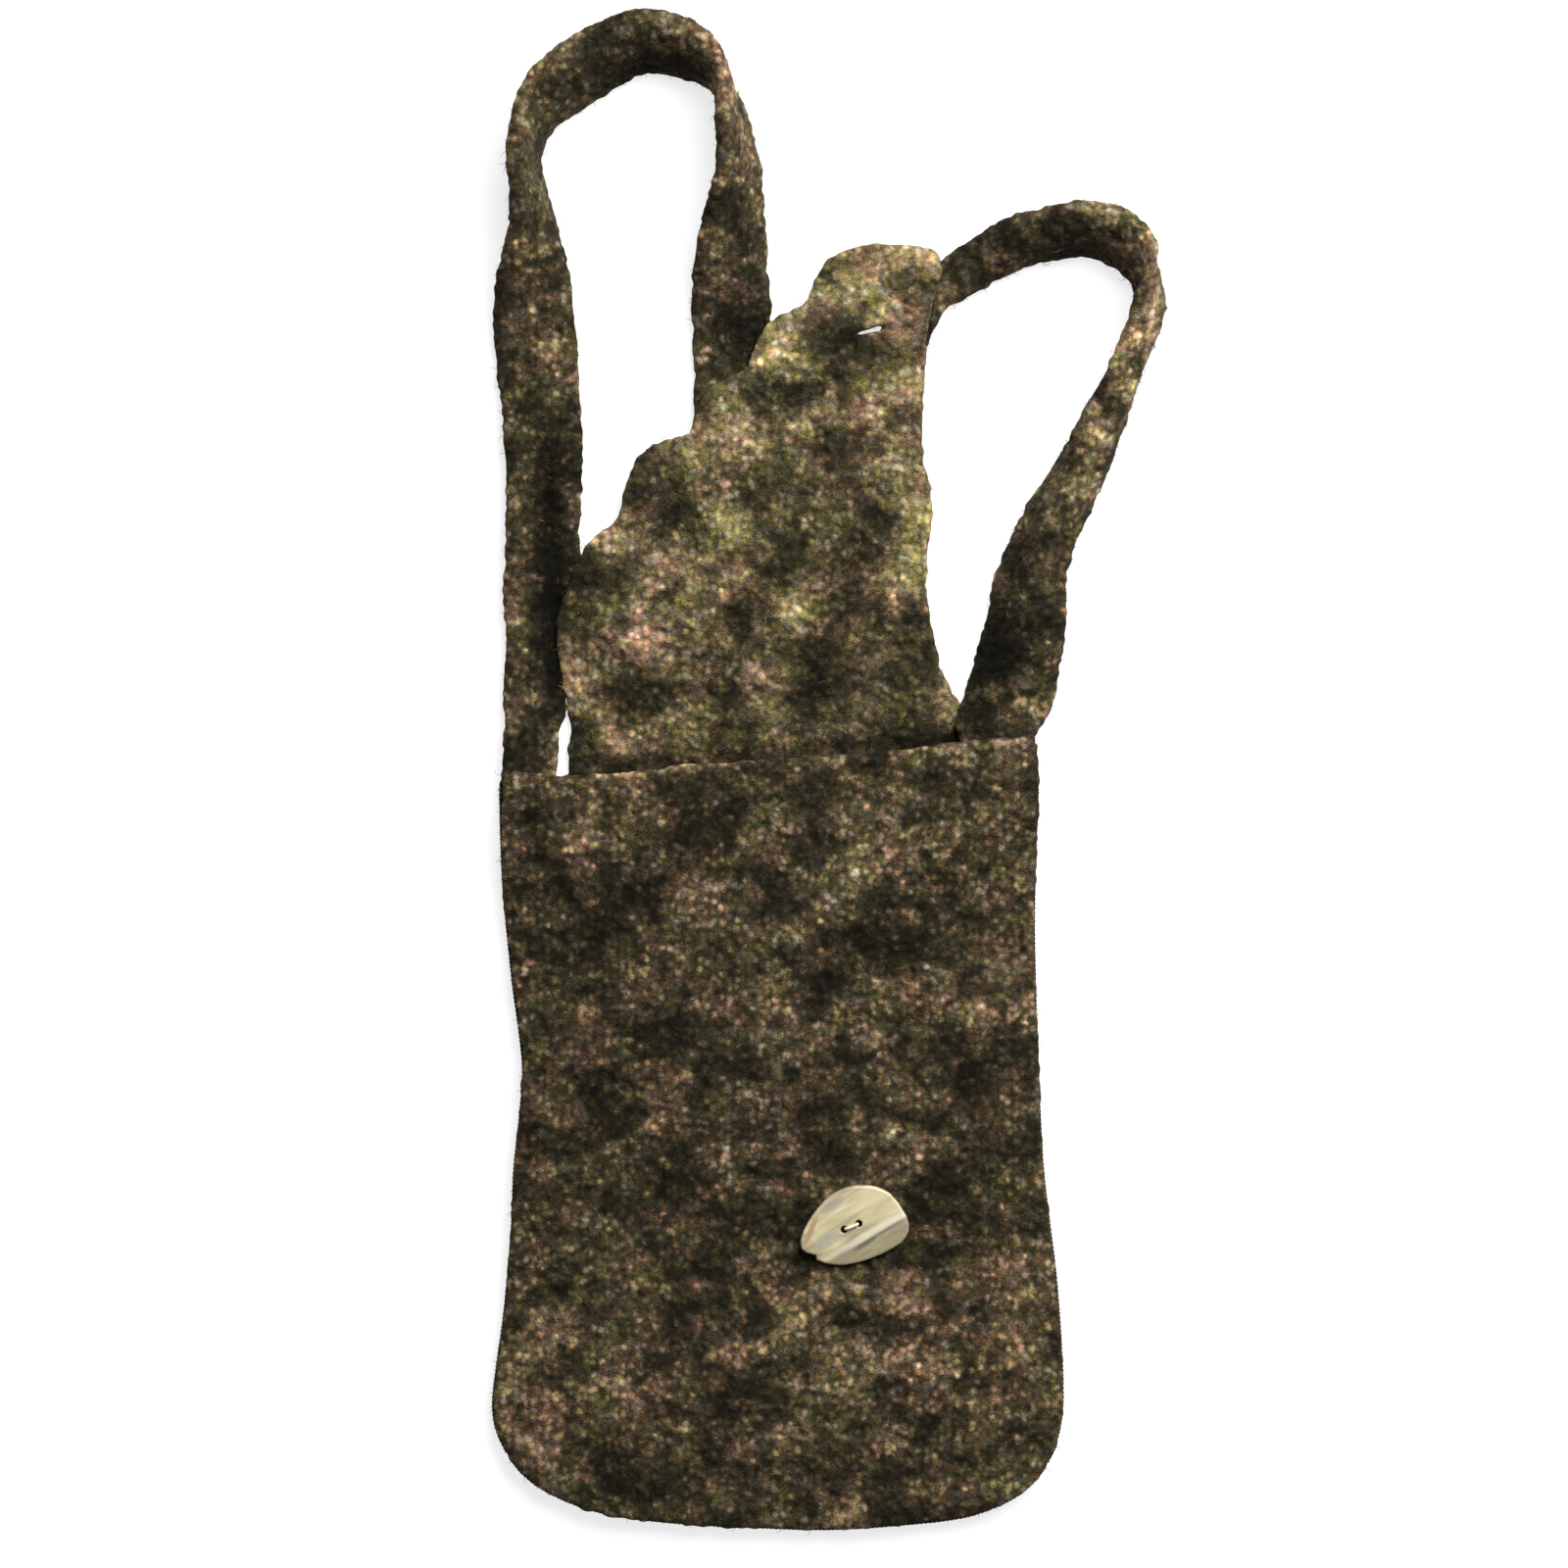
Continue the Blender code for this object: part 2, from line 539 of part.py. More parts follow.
def make_seams(material):
    outline = body_points()
    bottom = [index for index, point in enumerate(outline) if point.y < -BODY_DEPTH * BOTTOM_FROM]
    first, last = bottom[0], bottom[-1]
    parting = YARN_RADIUS * 2

    def stretch(points):
        """The points without a yarn's width at each end."""
        start, end = points[0].copy(), points[-1].copy()
        start += (points[1] - points[0]).normalized() * parting
        end += (points[-2] - points[-1]).normalized() * parting
        return [start] + points[1:-1] + [end]

    make_seam("right_seam_yarn", stretch(outline[: first + 1]), material)
    make_seam("bottom_seam_yarn", stretch(outline[first : last + 1]), material)
    make_seam("left_seam_yarn", stretch(outline[last:]), material)


def button_seat():
    """Matrix that lays the button on the front panel's sloping face."""
    across, down = button_place_shares
    x, y = BODY_CENTRE_X + BODY_HALF_WIDTH * across, -BODY_DEPTH * down
    step = BUTTON_WIDTH / 2
    slope_x = (front_height(x + step, y) - front_height(x - step, y)) / (2 * step)
    slope_y = (front_height(x, y + step) - front_height(x, y - step)) / (2 * step)
    normal = Vector((-slope_x, -slope_y, 1.0)).normalized()
    tilt = Vector((0.0, 0.0, 1.0)).rotation_difference(normal).to_matrix().to_4x4()
    place = Vector((x, y, front_height(x, y) + FELT / normal.z + SEAT))
    return Matrix.Translation(place) @ tilt @ Matrix.Rotation(BUTTON_TURN, 4, "Z")


def hole_pair(half, radius, low, high, seat):
    """Two upright round bars, one at each sewing hole."""
    bm = bmesh.new()
    for side in (-1, 1):
        place = Vector((side * half, 0.0, (low + high) / 2))
        bmesh.ops.create_cone(
            bm, cap_ends=True, segments=TUBE_SIDES, radius1=radius, radius2=radius,
            depth=high - low, matrix=seat @ Matrix.Translation(place),
        )
    return bm


def make_button(horn):
    """A slice of horn: egg outline, dished face, and a facet ground off along one side."""
    points = [
        (BUTTON_LENGTH * along, BUTTON_WIDTH * across, 0.0)
        for along, across in button_outline_shares
    ]
    bm = slab(points, BUTTON_THICKNESS, BUTTON_ROUND, BUTTON_PITCH)
    for vertex in bm.verts:
        share = vertex.co.z / BUTTON_THICKNESS
        along, across = vertex.co.x / BUTTON_LENGTH, vertex.co.y / BUTTON_WIDTH
        hollow = max(0.0, 1.0 - (along / DISH_LENGTH) ** 2 - (across / DISH_WIDTH) ** 2)
        past = -FACET_FROM - across * math.cos(FACET_TURN) - along * math.sin(FACET_TURN)
        drop = BUTTON_DISH * hollow + FACET_FALL * max(0.0, past)
        vertex.co.z -= share * drop
    seat = button_seat()
    bmesh.ops.transform(bm, matrix=seat, verts=bm.verts)
    piece = finish_mesh("horn_button", bm, horn)
    depth = BUTTON_THICKNESS + OVERRUN
    cutter = hole_pair(HOLE_SPACING / 2, HOLE_RADIUS, -OVERRUN, depth, seat)
    add_cutter(piece, cutter, "button_hole_cutter")


def make_button_thread(thread, front):
    """The cord that sews the button on: over the face, down the inner sides of both holes."""
    seat = button_seat()
    half = HOLE_SPACING / 2 - HOLE_RADIUS + SEAT + THREAD_RADIUS
    top = BUTTON_THICKNESS - BUTTON_DISH + SEAT + THREAD_RADIUS
    bottom = -SEAT - FELT - SEAT - SEAT - THREAD_RADIUS
    # The four corners of the loop: (side of the button, face or underside, start of the turn).
    corners = ((1, top - THREAD_CURL, 0.0), (-1, top - THREAD_CURL, 0.25))
    corners += ((-1, bottom + THREAD_CURL, 0.5), (1, bottom + THREAD_CURL, 0.75))
    route = []
    for side, level, start in corners:
        centre = Vector((side * (half - THREAD_CURL), 0.0, level))
        for step in range(CURL_STEPS + 1):
            turn = math.tau * (start + step / CURL_STEPS / 4)
            route.append(centre + Vector((math.cos(turn), 0.0, math.sin(turn))) * THREAD_CURL)
    bm = bmesh.new()
    rings_of = []
    corners = cross_section(TUBE_SIDES, THREAD_RADIUS, THREAD_RADIUS)
    count = len(route)
    for index, point in enumerate(route):
        ahead = route[(index + 1) % count] - route[index - 1]
        ahead.normalize()
        side = Vector((0.0, 1.0, 0.0))
        rings_of.append(ring(bm, point, side, ahead.cross(side), corners))
    for index, first in enumerate(rings_of):
        bmesh.ops.bridge_loops(bm, edges=rings_of[index - 1] + first)
    bmesh.ops.transform(bm, matrix=seat, verts=bm.verts)
    finish_mesh("button_thread", bm, thread)
    room = hole_pair(half, THREAD_RADIUS + SEAT, -FELT - OVERRUN, OVERRUN / 2, seat)
    add_cutter(front, room, "thread_hole_cutter")


def build():
    for leftover in list(bpy.data.objects):
        bpy.data.objects.remove(leftover)
    body_felt = make_material("body_felt", (0.07, 0.055, 0.034), 0.95)
    flap_felt = make_material("flap_felt", (0.11, 0.083, 0.044), 0.95)
    strap_felt = make_material("strap_felt", (0.06, 0.047, 0.027), 0.95)
    seam_wool = make_material("seam_wool", (0.05, 0.042, 0.026), 0.95)
    horn = make_material("horn", (0.55, 0.47, 0.32), 0.3)
    cord = make_material("cream_cord", (0.72, 0.6, 0.36), 0.7)

    front = make_front_panel(body_felt)
    make_back_panel(body_felt)
    make_seams(seam_wool)
    make_flap(flap_felt)
    make_strap(strap_felt)
    sides = (
        ("left", LEFT_INNER_X - LEFT_END_WIDTH / 2, LEFT_END_WIDTH, rim_y(-1.0)),
        ("right", RIGHT_INNER_X + RIGHT_END_WIDTH / 2, RIGHT_END_WIDTH, rim_y(1.0)),
    )
    for name, middle_x, width, rim in sides:
        make_strap_end(f"{name}_strap_end", middle_x, width, rim, strap_felt)
        make_strap_stitch(f"{name}_strap_stitch", middle_x, width, rim, seam_wool)
    make_button(horn)
    make_button_thread(cord, front)


build()
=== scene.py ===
"""Looks of the felted pouch: pebbled felt, rolled strap, plied yarn, horn button and its cord."""

import itertools
import math

import bmesh
import bpy
import numpy as np
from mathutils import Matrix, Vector, kdtree, noise


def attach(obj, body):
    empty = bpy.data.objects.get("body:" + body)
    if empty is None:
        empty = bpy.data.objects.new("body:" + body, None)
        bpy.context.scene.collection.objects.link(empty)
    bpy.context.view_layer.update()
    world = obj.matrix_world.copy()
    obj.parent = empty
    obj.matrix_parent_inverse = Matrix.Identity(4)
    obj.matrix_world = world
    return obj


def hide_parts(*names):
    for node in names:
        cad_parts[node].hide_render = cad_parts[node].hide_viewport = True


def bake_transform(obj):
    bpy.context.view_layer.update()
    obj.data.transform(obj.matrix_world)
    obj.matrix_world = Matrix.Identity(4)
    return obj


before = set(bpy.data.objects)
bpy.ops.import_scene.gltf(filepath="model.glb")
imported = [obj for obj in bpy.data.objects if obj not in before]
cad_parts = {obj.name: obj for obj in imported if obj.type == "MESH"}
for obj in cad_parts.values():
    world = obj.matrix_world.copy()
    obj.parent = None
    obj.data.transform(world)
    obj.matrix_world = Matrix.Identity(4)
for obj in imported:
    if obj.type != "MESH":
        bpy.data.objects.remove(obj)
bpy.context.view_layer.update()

MM = 0.001
UP = Vector((0.0, 0.0, 1.0))

# Felt
FELT = 4.5 * MM
FOLD_Y = 16.0 * MM  # line at which the flap and the strap leave the pouch
LAP = 1.2 * MM  # how far one solid is drawn into the next, to make one piece of felt
PEBBLE = Vector((3.4, 3.0, 3.4)) * MM  # size of one felted stitch
PEBBLE_RISE = 0.95 * MM
PEBBLE_SOFTNESS = 7.0  # the higher, the sharper the hollows between stitches
EDGE_FILL = 0.9 * MM  # how far felted edges swell over the seams
FELT_VOXEL = 0.98 * MM
MOST_TRIANGLES = 180_000
WAVES = ((0.8, 24.0), (0.6, 8.0), (0.6, 3.4))  # rises of the felt: height and length in mm
TONE_SPAN = 6.0  # stops between the least and the most tone that a point can keep
STITCH_HUES = 0.3  # how far single stitches differ in hue
LIGHTER, DARKER = 1.25, 1.7  # strength of the patches that are paler and darker than the felt
RAGGED = 4.0 * MM  # how far a patch's edge wanders in and out
RAGGED_LENGTH = 7.0 * MM

# Where two solids of one piece of felt meet, at the fold.
MEETING = 0.1 * MM  # middle of the gap between their ends, past the fold
END_REACH = 1.0 * MM  # how far from the fold a strap's end faces are looked for
TONGUE_REACH = (-0.2 * MM, 0.8 * MM)  # and the tongue's and the flap's, from the fold
TONGUE_LAP = 0.4 * MM  # how far the tongue is drawn into the flap
FOLD_REACH = 6.0 * MM  # how far from the fold the felt is evened out

# The front rim, left to right: x and y.
RIM_X = np.array((-133.5, -113.9, -89.9, -58.3, -18.0, 22.4, 61.6, 84.5)) * MM
RIM_Y = np.array((-2.0, -3.0, -2.5, 0.9, 3.6, 6.9, 11.1, 13.2)) * MM
RIM_ROLL = 7.0 * MM  # depth of felt that curls up along the rim
RIM_LIFT = 1.5 * MM
RIM_HIGHLIGHT_DEPTH = 3.5 * MM  # depth below the rim of its painted highlight
RIM_HIGHLIGHT_X, RIM_HIGHLIGHT_REACH, RIM_HIGHLIGHT_LEAST = -86.0 * MM, 30.0 * MM, 0.4  # where the rim's painted highlight is strongest, how far it reaches and its least share

CORNER_X = -112.0 * MM  # left of this the rim is felted down on to the strap
CORNER_EASE = 7.0 * MM
CORNER_DEPTH = 16.0 * MM
CORNER_PRESS = 0.8  # share of its height above the strap that the felt loses there
STRAP_TOP = 9.45 * MM  # upper face of a strap end inside the mouth
DRAW = 2.2 * MM  # how far the front's edges are drawn in at the mouth, to the strap's edges
DRAW_LEFT, DRAW_RIGHT = -124.0 * MM, 74.0 * MM
DRAW_EASE = 9.0 * MM
DRAW_DEPTH = 24.0 * MM

# The back felt's dip just above the rim: depth, distance above the rim and half of its width.
MOUTH_DIP, MOUTH_DIP_ABOVE, MOUTH_DIP_HALF = 1.8 * MM, 2.2 * MM, 4.0 * MM
MOUTH_LEFT, MOUTH_SPAN = -100.0 * MM, 140.0 * MM
MOUTH_DARK = (1.0, 1.7)  # stops that the mouth's shade takes off, at its left and its right
MOUTH_REACH = (2.6 * MM, 6.2 * MM)  # how far up that shade reaches, at its left and its right
UPPER_EASE = 4.0 * MM  # height over which a hollow pressed into the felt fades towards its back

# The trough down the strap's left leg, from its foot up: x, y and depth.
TROUGH_Y = np.array((18.0, 30.0, 44.0, 62.0, 90.0, 125.0, 150.0)) * MM
TROUGH_X = np.array((-108.5, -110.0, -111.8, -113.0, -114.0, -115.0, -115.5)) * MM
TROUGH_DEPTH = np.array((0.5, 1.6, 2.8, 3.2, 3.2, 2.4, 0.0)) * MM
TROUGH_HALF_WIDTH = 6.3 * MM
TROUGH_SHADE = 1.1  # stops for each mm of depth

# Where the felt's edges lean sideways, in mm: x and y of the place, reach, and shift to the right.
FLAP_NUDGES = ((-104.5, 12, 9, -1.0),)
STRAP_NUDGES = ((-110.5, 12, 9, 0.8), (-102, 82, 10, 2.0), (57, 18, 9, -5.0))

SAG = 3.6 * MM  # of the flap beside the strap that it lies on
SAG_FROM, SAG_REACH = 6.0 * MM, 17.0 * MM  # distance from the strap's points at which it starts
SAG_Y, SAG_EASE = 60.0 * MM, 45.0 * MM  # height up the flap at which it starts

HAIR_RADIUS = 0.09 * MM
HAIR_LENGTH = (2.0 * MM, 6.0 * MM)
HAIR_ROOT = 0.3 * MM  # depth of its root in the felt
HAIR_TAPER = (1.0, 0.8, 0.25)
HAIR_STITCH = (0.75, 0.5, 0.5, 0.56)  # crown, pick, hue and tone of all hairs

YARN_RADIUS = 0.9 * MM
YARN_TURN = 3.6 * MM  # length of yarn in which its plies go once round
YARN_STEP = 0.75 * MM
RING_PARTING = 2.2 * MM  # least distance between two rings of a yarn's solid
POUCH_MIDDLE = Vector((-24.5, -150.0)) * MM
POUCH_REACH = 0.15  # about how far its outline is from there
PLY_SHARE = {2: 0.56, 3: 0.53}  # radius of one ply, in shares of the yarn's or the cord's
CORD_RADIUS = 0.7 * MM
CORD_SEAT = 0.6 * MM  # from the cord's middle to what it lies on
CORD_TURN = 2.4 * MM
CORD_CURL = 0.96 * MM  # radius of its turn into a hole
CORD_STEP = 0.35 * MM

# Button: its middle on the front, the run of its streaks and half of its size.
BUTTON_MIDDLE = Vector((8.9, -185.5, 16.2)) * MM
BUTTON_GRAIN = math.radians(30.5)
BUTTON_HALF = Vector((22.0, 15.0, 5.0)) * MM
HORN_VOXEL = 0.32 * MM

# Stage
FLOOR_HALF = 6.0
FLOOR_Z = -0.6 * MM
FLOOR_GREY, FLOOR_SEEN_GREY = (0.75, 0.75, 0.75, 1.0), (0.3, 0.3, 0.3, 1.0)
FLOOR_GLOW = 0.78
ROOM_LIGHT = 0.11
LENS, SENSOR = 180.0, 36.0  # mm
VIEW_WIDTH = 0.64  # width of floor that the camera sees
VIEW_MIDDLE = (-0.0184, -0.006)


# Materials
class Wire:
    """A number on its way through a finish: sums with it add Math nodes."""

    def __init__(self, finish, socket):
        self.finish, self.socket = finish, socket

    def join(self, operation, first, second):
        return self.finish.node(
            "ShaderNodeMath", 0, {"operation": operation}, {0: first, 1: second}
        )

    def __add__(self, other):
        return self.join("ADD", self, other)

    def __radd__(self, other):
        return self.join("ADD", other, self)

    def __sub__(self, other):
        return self.join("SUBTRACT", self, other)

    def __rsub__(self, other):
        return self.join("SUBTRACT", other, self)

    def __mul__(self, other):
        return self.join("MULTIPLY", self, other)

    def __rmul__(self, other):
        return self.join("MULTIPLY", other, self)

    def __rpow__(self, other):
        return self.join("POWER", other, self)

    def __abs__(self):
        return self.join("ABSOLUTE", self, 0.0)

    def over(self, limit):
        """How far the number is above a limit."""
        return self.join("MAXIMUM", self - limit, 0.0)

    def output(self, name):
        """Another output of the node that this wire comes from."""
        return Wire(self.finish, self.socket.node.outputs[name])


class Finish:
    """One material and the nodes that make it."""

    def __init__(self, name, **constants):
        self.material = bpy.data.materials.new(name)
        self.material.use_nodes = True
        self.tree = self.material.node_tree
        self.shader = self.tree.nodes["Principled BSDF"]
        for socket, value in constants.items():
            self.shader.inputs[socket.replace("_", " ")].default_value = value

    def node(self, kind, output, settings=None, sockets=None):
        """Adds a node, sets it up and gives the wire from one of its outputs."""
        made = self.tree.nodes.new(kind)
        for key, setting in (settings or {}).items():
            if key == "stops":
                self.set_stops(made.color_ramp, setting)
            else:
                setattr(made, key, setting)
        for key, value in (sockets or {}).items():
            if isinstance(value, Wire):
                self.tree.links.new(value.socket, made.inputs[key])
            else:
                made.inputs[key].default_value = value
        return Wire(self, made.outputs[output])

    def set_stops(self, ramp, stops):
        while len(ramp.elements) < len(stops):
            ramp.elements.new(1.0)
        for element, (place, colour) in zip(ramp.elements, stops):
            element.position = place
            element.color = (*colour, 1.0)

    def ramp(self, factor, stops):
        return self.node("ShaderNodeValToRGB", "Color", {"stops": stops}, {"Fac": factor})

    def spread(self, factor, low, high, bottom=0.0, top=1.0):
        """Moves the range from low to high on to the range from bottom to top."""
        return self.node("ShaderNodeMapRange", "Result", None, {
            "Value": factor, "From Min": low, "From Max": high, "To Min": bottom, "To Max": top,
        })

    def mix(self, factor, first, second):
        return self.node(
            "ShaderNodeMix", 2, {"data_type": "RGBA"}, {0: factor, 6: first, 7: second}
        )

    def dim(self, colour, amount):
        return self.node(
            "ShaderNodeVectorMath", 0, {"operation": "SCALE"}, {0: colour, "Scale": amount}
        )

    def place(self, turn=(0.0, 0.0, 0.0), scale=(1.0, 1.0, 1.0), location=(0.0, 0.0, 0.0)):
        where = self.node("ShaderNodeTexCoord", "Object")
        return self.node("ShaderNodeMapping", "Vector", None, {
            "Vector": where, "Rotation": turn, "Scale": scale, "Location": location
        })

    def seat(self, middle, turn, size):
        """Coordinates from the middle of a piece, along its grain, in shares of its size."""
        where = self.node("ShaderNodeTexCoord", "Object")
        return self.node("ShaderNodeMapping", "Vector", {"vector_type": "TEXTURE"}, {
            "Vector": where, "Rotation": (0.0, 0.0, turn), "Scale": size, "Location": middle
        })

    def split(self, vector):
        """The three parts of a vector."""
        first = self.node("ShaderNodeSeparateXYZ", "X", None, {0: vector})
        return first, first.output("Y"), first.output("Z")

    def cloud(self, where, scale, detail=2.0, roughness=0.5, distortion=0.0):
        return self.node("ShaderNodeTexNoise", "Fac", None, {
            "Vector": where, "Scale": scale, "Detail": detail, "Roughness": roughness,
            "Distortion": distortion,
        })

    def cells(self, where, scale):
        """Small cells: the distance from the nearest one's middle, and a number of its own."""
        sockets = {"Vector": where, "Scale": scale}
        away = self.node("ShaderNodeTexVoronoi", "Distance", None, sockets)
        own = {"Color": away.output("Color")}
        return away, self.node("ShaderNodeSeparateColor", "Red", None, own)

    def feed(self, **wires):
        for socket, wire in wires.items():
            self.tree.links.new(wire.socket, self.shader.inputs[socket.replace("_", " ")])

    def bump(self, height, strength, distance):
        return self.node("ShaderNodeBump", "Normal", None, {
            "Height": height, "Strength": strength, "Distance": distance
        })


# Sizes of the wool's patterns, in cells to a metre.
HUES, CLUMPS, BEADS, SPECKS, FIBRES = 55.0, 150.0, 325.0, 480.0, 1000.0
NUB_LAYERS = ((190.0, 0.28, 2.0), (300.0, 0.5, 1.7))  # cells to a metre, share that show, stops
FELT_BUMP = 0.7 * MM

# Wool colours of equal brightness, and the brightness of wool of middle tone.
CHARCOAL = (1.1, 1.0, 0.52, 1.0)
MIDDLE_WOOL = 0.05
BONE = (1.14, 1.0, 0.8, 1.0)
WOOLS = (
    (0.36, (1.53, 0.89, 0.5)), (0.45, (1.38, 0.94, 0.46)), (0.54, (1.25, 0.98, 0.44)),
    (0.65, (1.18, 1.0, 0.33)),
)
NUBS = (
    (0.0, (1.42, 0.91, 0.7)), (0.28, (1.6, 0.87, 0.5)), (0.5, (1.32, 0.96, 0.46)),
    (0.78, (1.16, 1.02, 0.38)), (1.0, (1.08, 1.0, 0.8)),
)


def make_felt(name, tone, patchy, patch_scale, beady, nubby, olive, seed, zones=()):
    """Felted wool of mixed yarns.

    Tones are in stops: each one more is twice as bright. patchy, beady and nubby are how strongly
    its patches, stitches and pale nubs stand out, and olive shifts it from rust towards olive.
    zones are (y from, y to, stops), for felt that gets paler or darker along the piece.
    """
    finish = Finish(
        name, Roughness=0.95, Specular_IOR_Level=0.08, Sheen_Weight=0.1, Sheen_Roughness=0.4,
        Sheen_Tint=(0.62, 0.52, 0.33, 1.0),
    )
    where = finish.place(location=(seed, 0.3 * seed, 0.0))
    rows = finish.place(scale=(1.0, 1.4, 1.0), location=(seed, 0.0, 0.0))
    combed = finish.place((0.3, 0.2, 0.6), (1.0, 2.2, 1.0))

    # What the felt's own points keep: the stitch's crown, a number and a hue of it, and a tone that
    # holds its patches and its painted light and shade.
    stitch = finish.node("ShaderNodeAttribute", "Color", {"attribute_name": "pebble"})
    crown = finish.node("ShaderNodeSeparateColor", "Red", None, {"Color": stitch})
    pick, hue = crown.output("Green"), crown.output("Blue") - 0.5
    shade = stitch.output("Alpha") - 0.5

    # Tone
    patch = finish.cloud(rows, patch_scale, 2.0, 0.5, 0.3)
    clump = finish.cloud(where, CLUMPS, 2.0, 0.6, 0.3)
    speck = finish.cloud(where, SPECKS, 2.0, 0.7, 0.5)
    fibre = finish.cloud(combed, FIBRES, 2.0, 0.7, 0.8)
    dark = finish.spread(finish.cloud(where, 1.4 * patch_scale, 2.0, 0.5, 0.4), 0.53, 0.37)
    bead, own = finish.cells(where, BEADS)
    stops = tone + patchy * (patch - 0.5) + 2.4 * (clump - 0.5) + 4.0 * (speck - 0.5)
    # Stitches are paler on their crowns and darker in the hollows between them: partly paler
    # fibres, partly painted shade.
    stops = stops + 5.0 * (fibre - 0.5) + 1.2 * (crown - 0.6) + 0.6 * (pick - 0.5)
    stops = stops + TONE_SPAN * shade
    stops = stops + beady * (1.0 - 0.45 * dark) * (own - 0.45) * finish.spread(bead, 0.6, 0.2)
    # Each bead darkens towards its border: painted shade round the bead.
    stops = stops - 1.6 * dark - 0.8 * finish.spread(bead, 0.3, 0.65)
    _, up, _ = finish.split(finish.place())
    for start, end, change in zones:
        stops = stops + finish.spread(up, start, end) * change

    # Hue: rust to olive, bone in some beads, charcoal where it's dark.
    family = 0.95 * finish.cloud(rows, HUES, 3.0, 0.55, 0.3) + 0.35 * speck - 0.15
    family = family + 0.45 * hue + 0.16 * (own.output("Green") - 0.5) + olive
    wool = finish.ramp(family, WOOLS)
    wool = finish.mix(finish.spread(own.output("Blue"), 0.5, 1.0, 0.0, 0.7), wool, BONE)
    wool = finish.mix(0.7 * finish.spread(stops - 0.5 * dark, -0.3, -2.0), wool, CHARCOAL)

    # Pale nubs, likelier where the felt is pale.
    likely = 1.4 * nubby * (patch - 0.5) + 1.5 * shade - 0.35 * dark
    for scale, share, rise in NUB_LAYERS:
        nub, kind = finish.cells(where, scale)
        chance = finish.spread(kind + likely, 1.0 - share, 1.12 - 0.4 * share)
        nub = finish.spread(nub, 0.52, 0.2) * chance
        stops = stops + rise * nub
        wool = finish.mix(0.9 * nub, wool, finish.ramp(kind.output("Green") + 0.9 * hue, NUBS))
    wool = finish.dim(wool, MIDDLE_WOOL * 2.0 ** (stops - 0.4 * stops.over(1.7)))
    finish.feed(Base_Color=wool, Normal=finish.bump(fibre + 0.8 * speck - bead, 0.8, FELT_BUMP))
    return finish.material


def make_yarn_finish():
    finish = Finish("seam_wool", Roughness=0.95, Specular_IOR_Level=0.08)
    fibre = finish.cloud(finish.place(), 900.0, 3.0, 0.6)
    shade = finish.cloud(finish.place(location=(0.4, 0.0, 0.0)), 90.0, 2.0, 0.5)
    stops = 4.0 * (fibre - 0.5) + 5.0 * (shade - 0.5)
    wool = finish.mix(finish.spread(stops, -1.5, 0.5), CHARCOAL, (1.32, 0.95, 0.6, 1.0))
    wool = finish.dim(wool, MIDDLE_WOOL * 2.0 ** stops)
    finish.feed(Base_Color=wool, Normal=finish.bump(fibre, 0.6, 0.3 * MM))
    return finish.material


def make_cord_finish():
    finish = Finish("cream_cord", Roughness=0.6, Specular_IOR_Level=0.3)
    fibre = finish.cloud(finish.place(scale=(1.0, 1.0, 2.5)), 1700.0, 2.0, 0.6)
    cream = finish.ramp(fibre, ((0.3, (0.58, 0.48, 0.3)), (0.7, (0.88, 0.79, 0.58))))
    finish.feed(Base_Color=cream, Normal=finish.bump(fibre, 0.5, 0.12 * MM))
    return finish.material


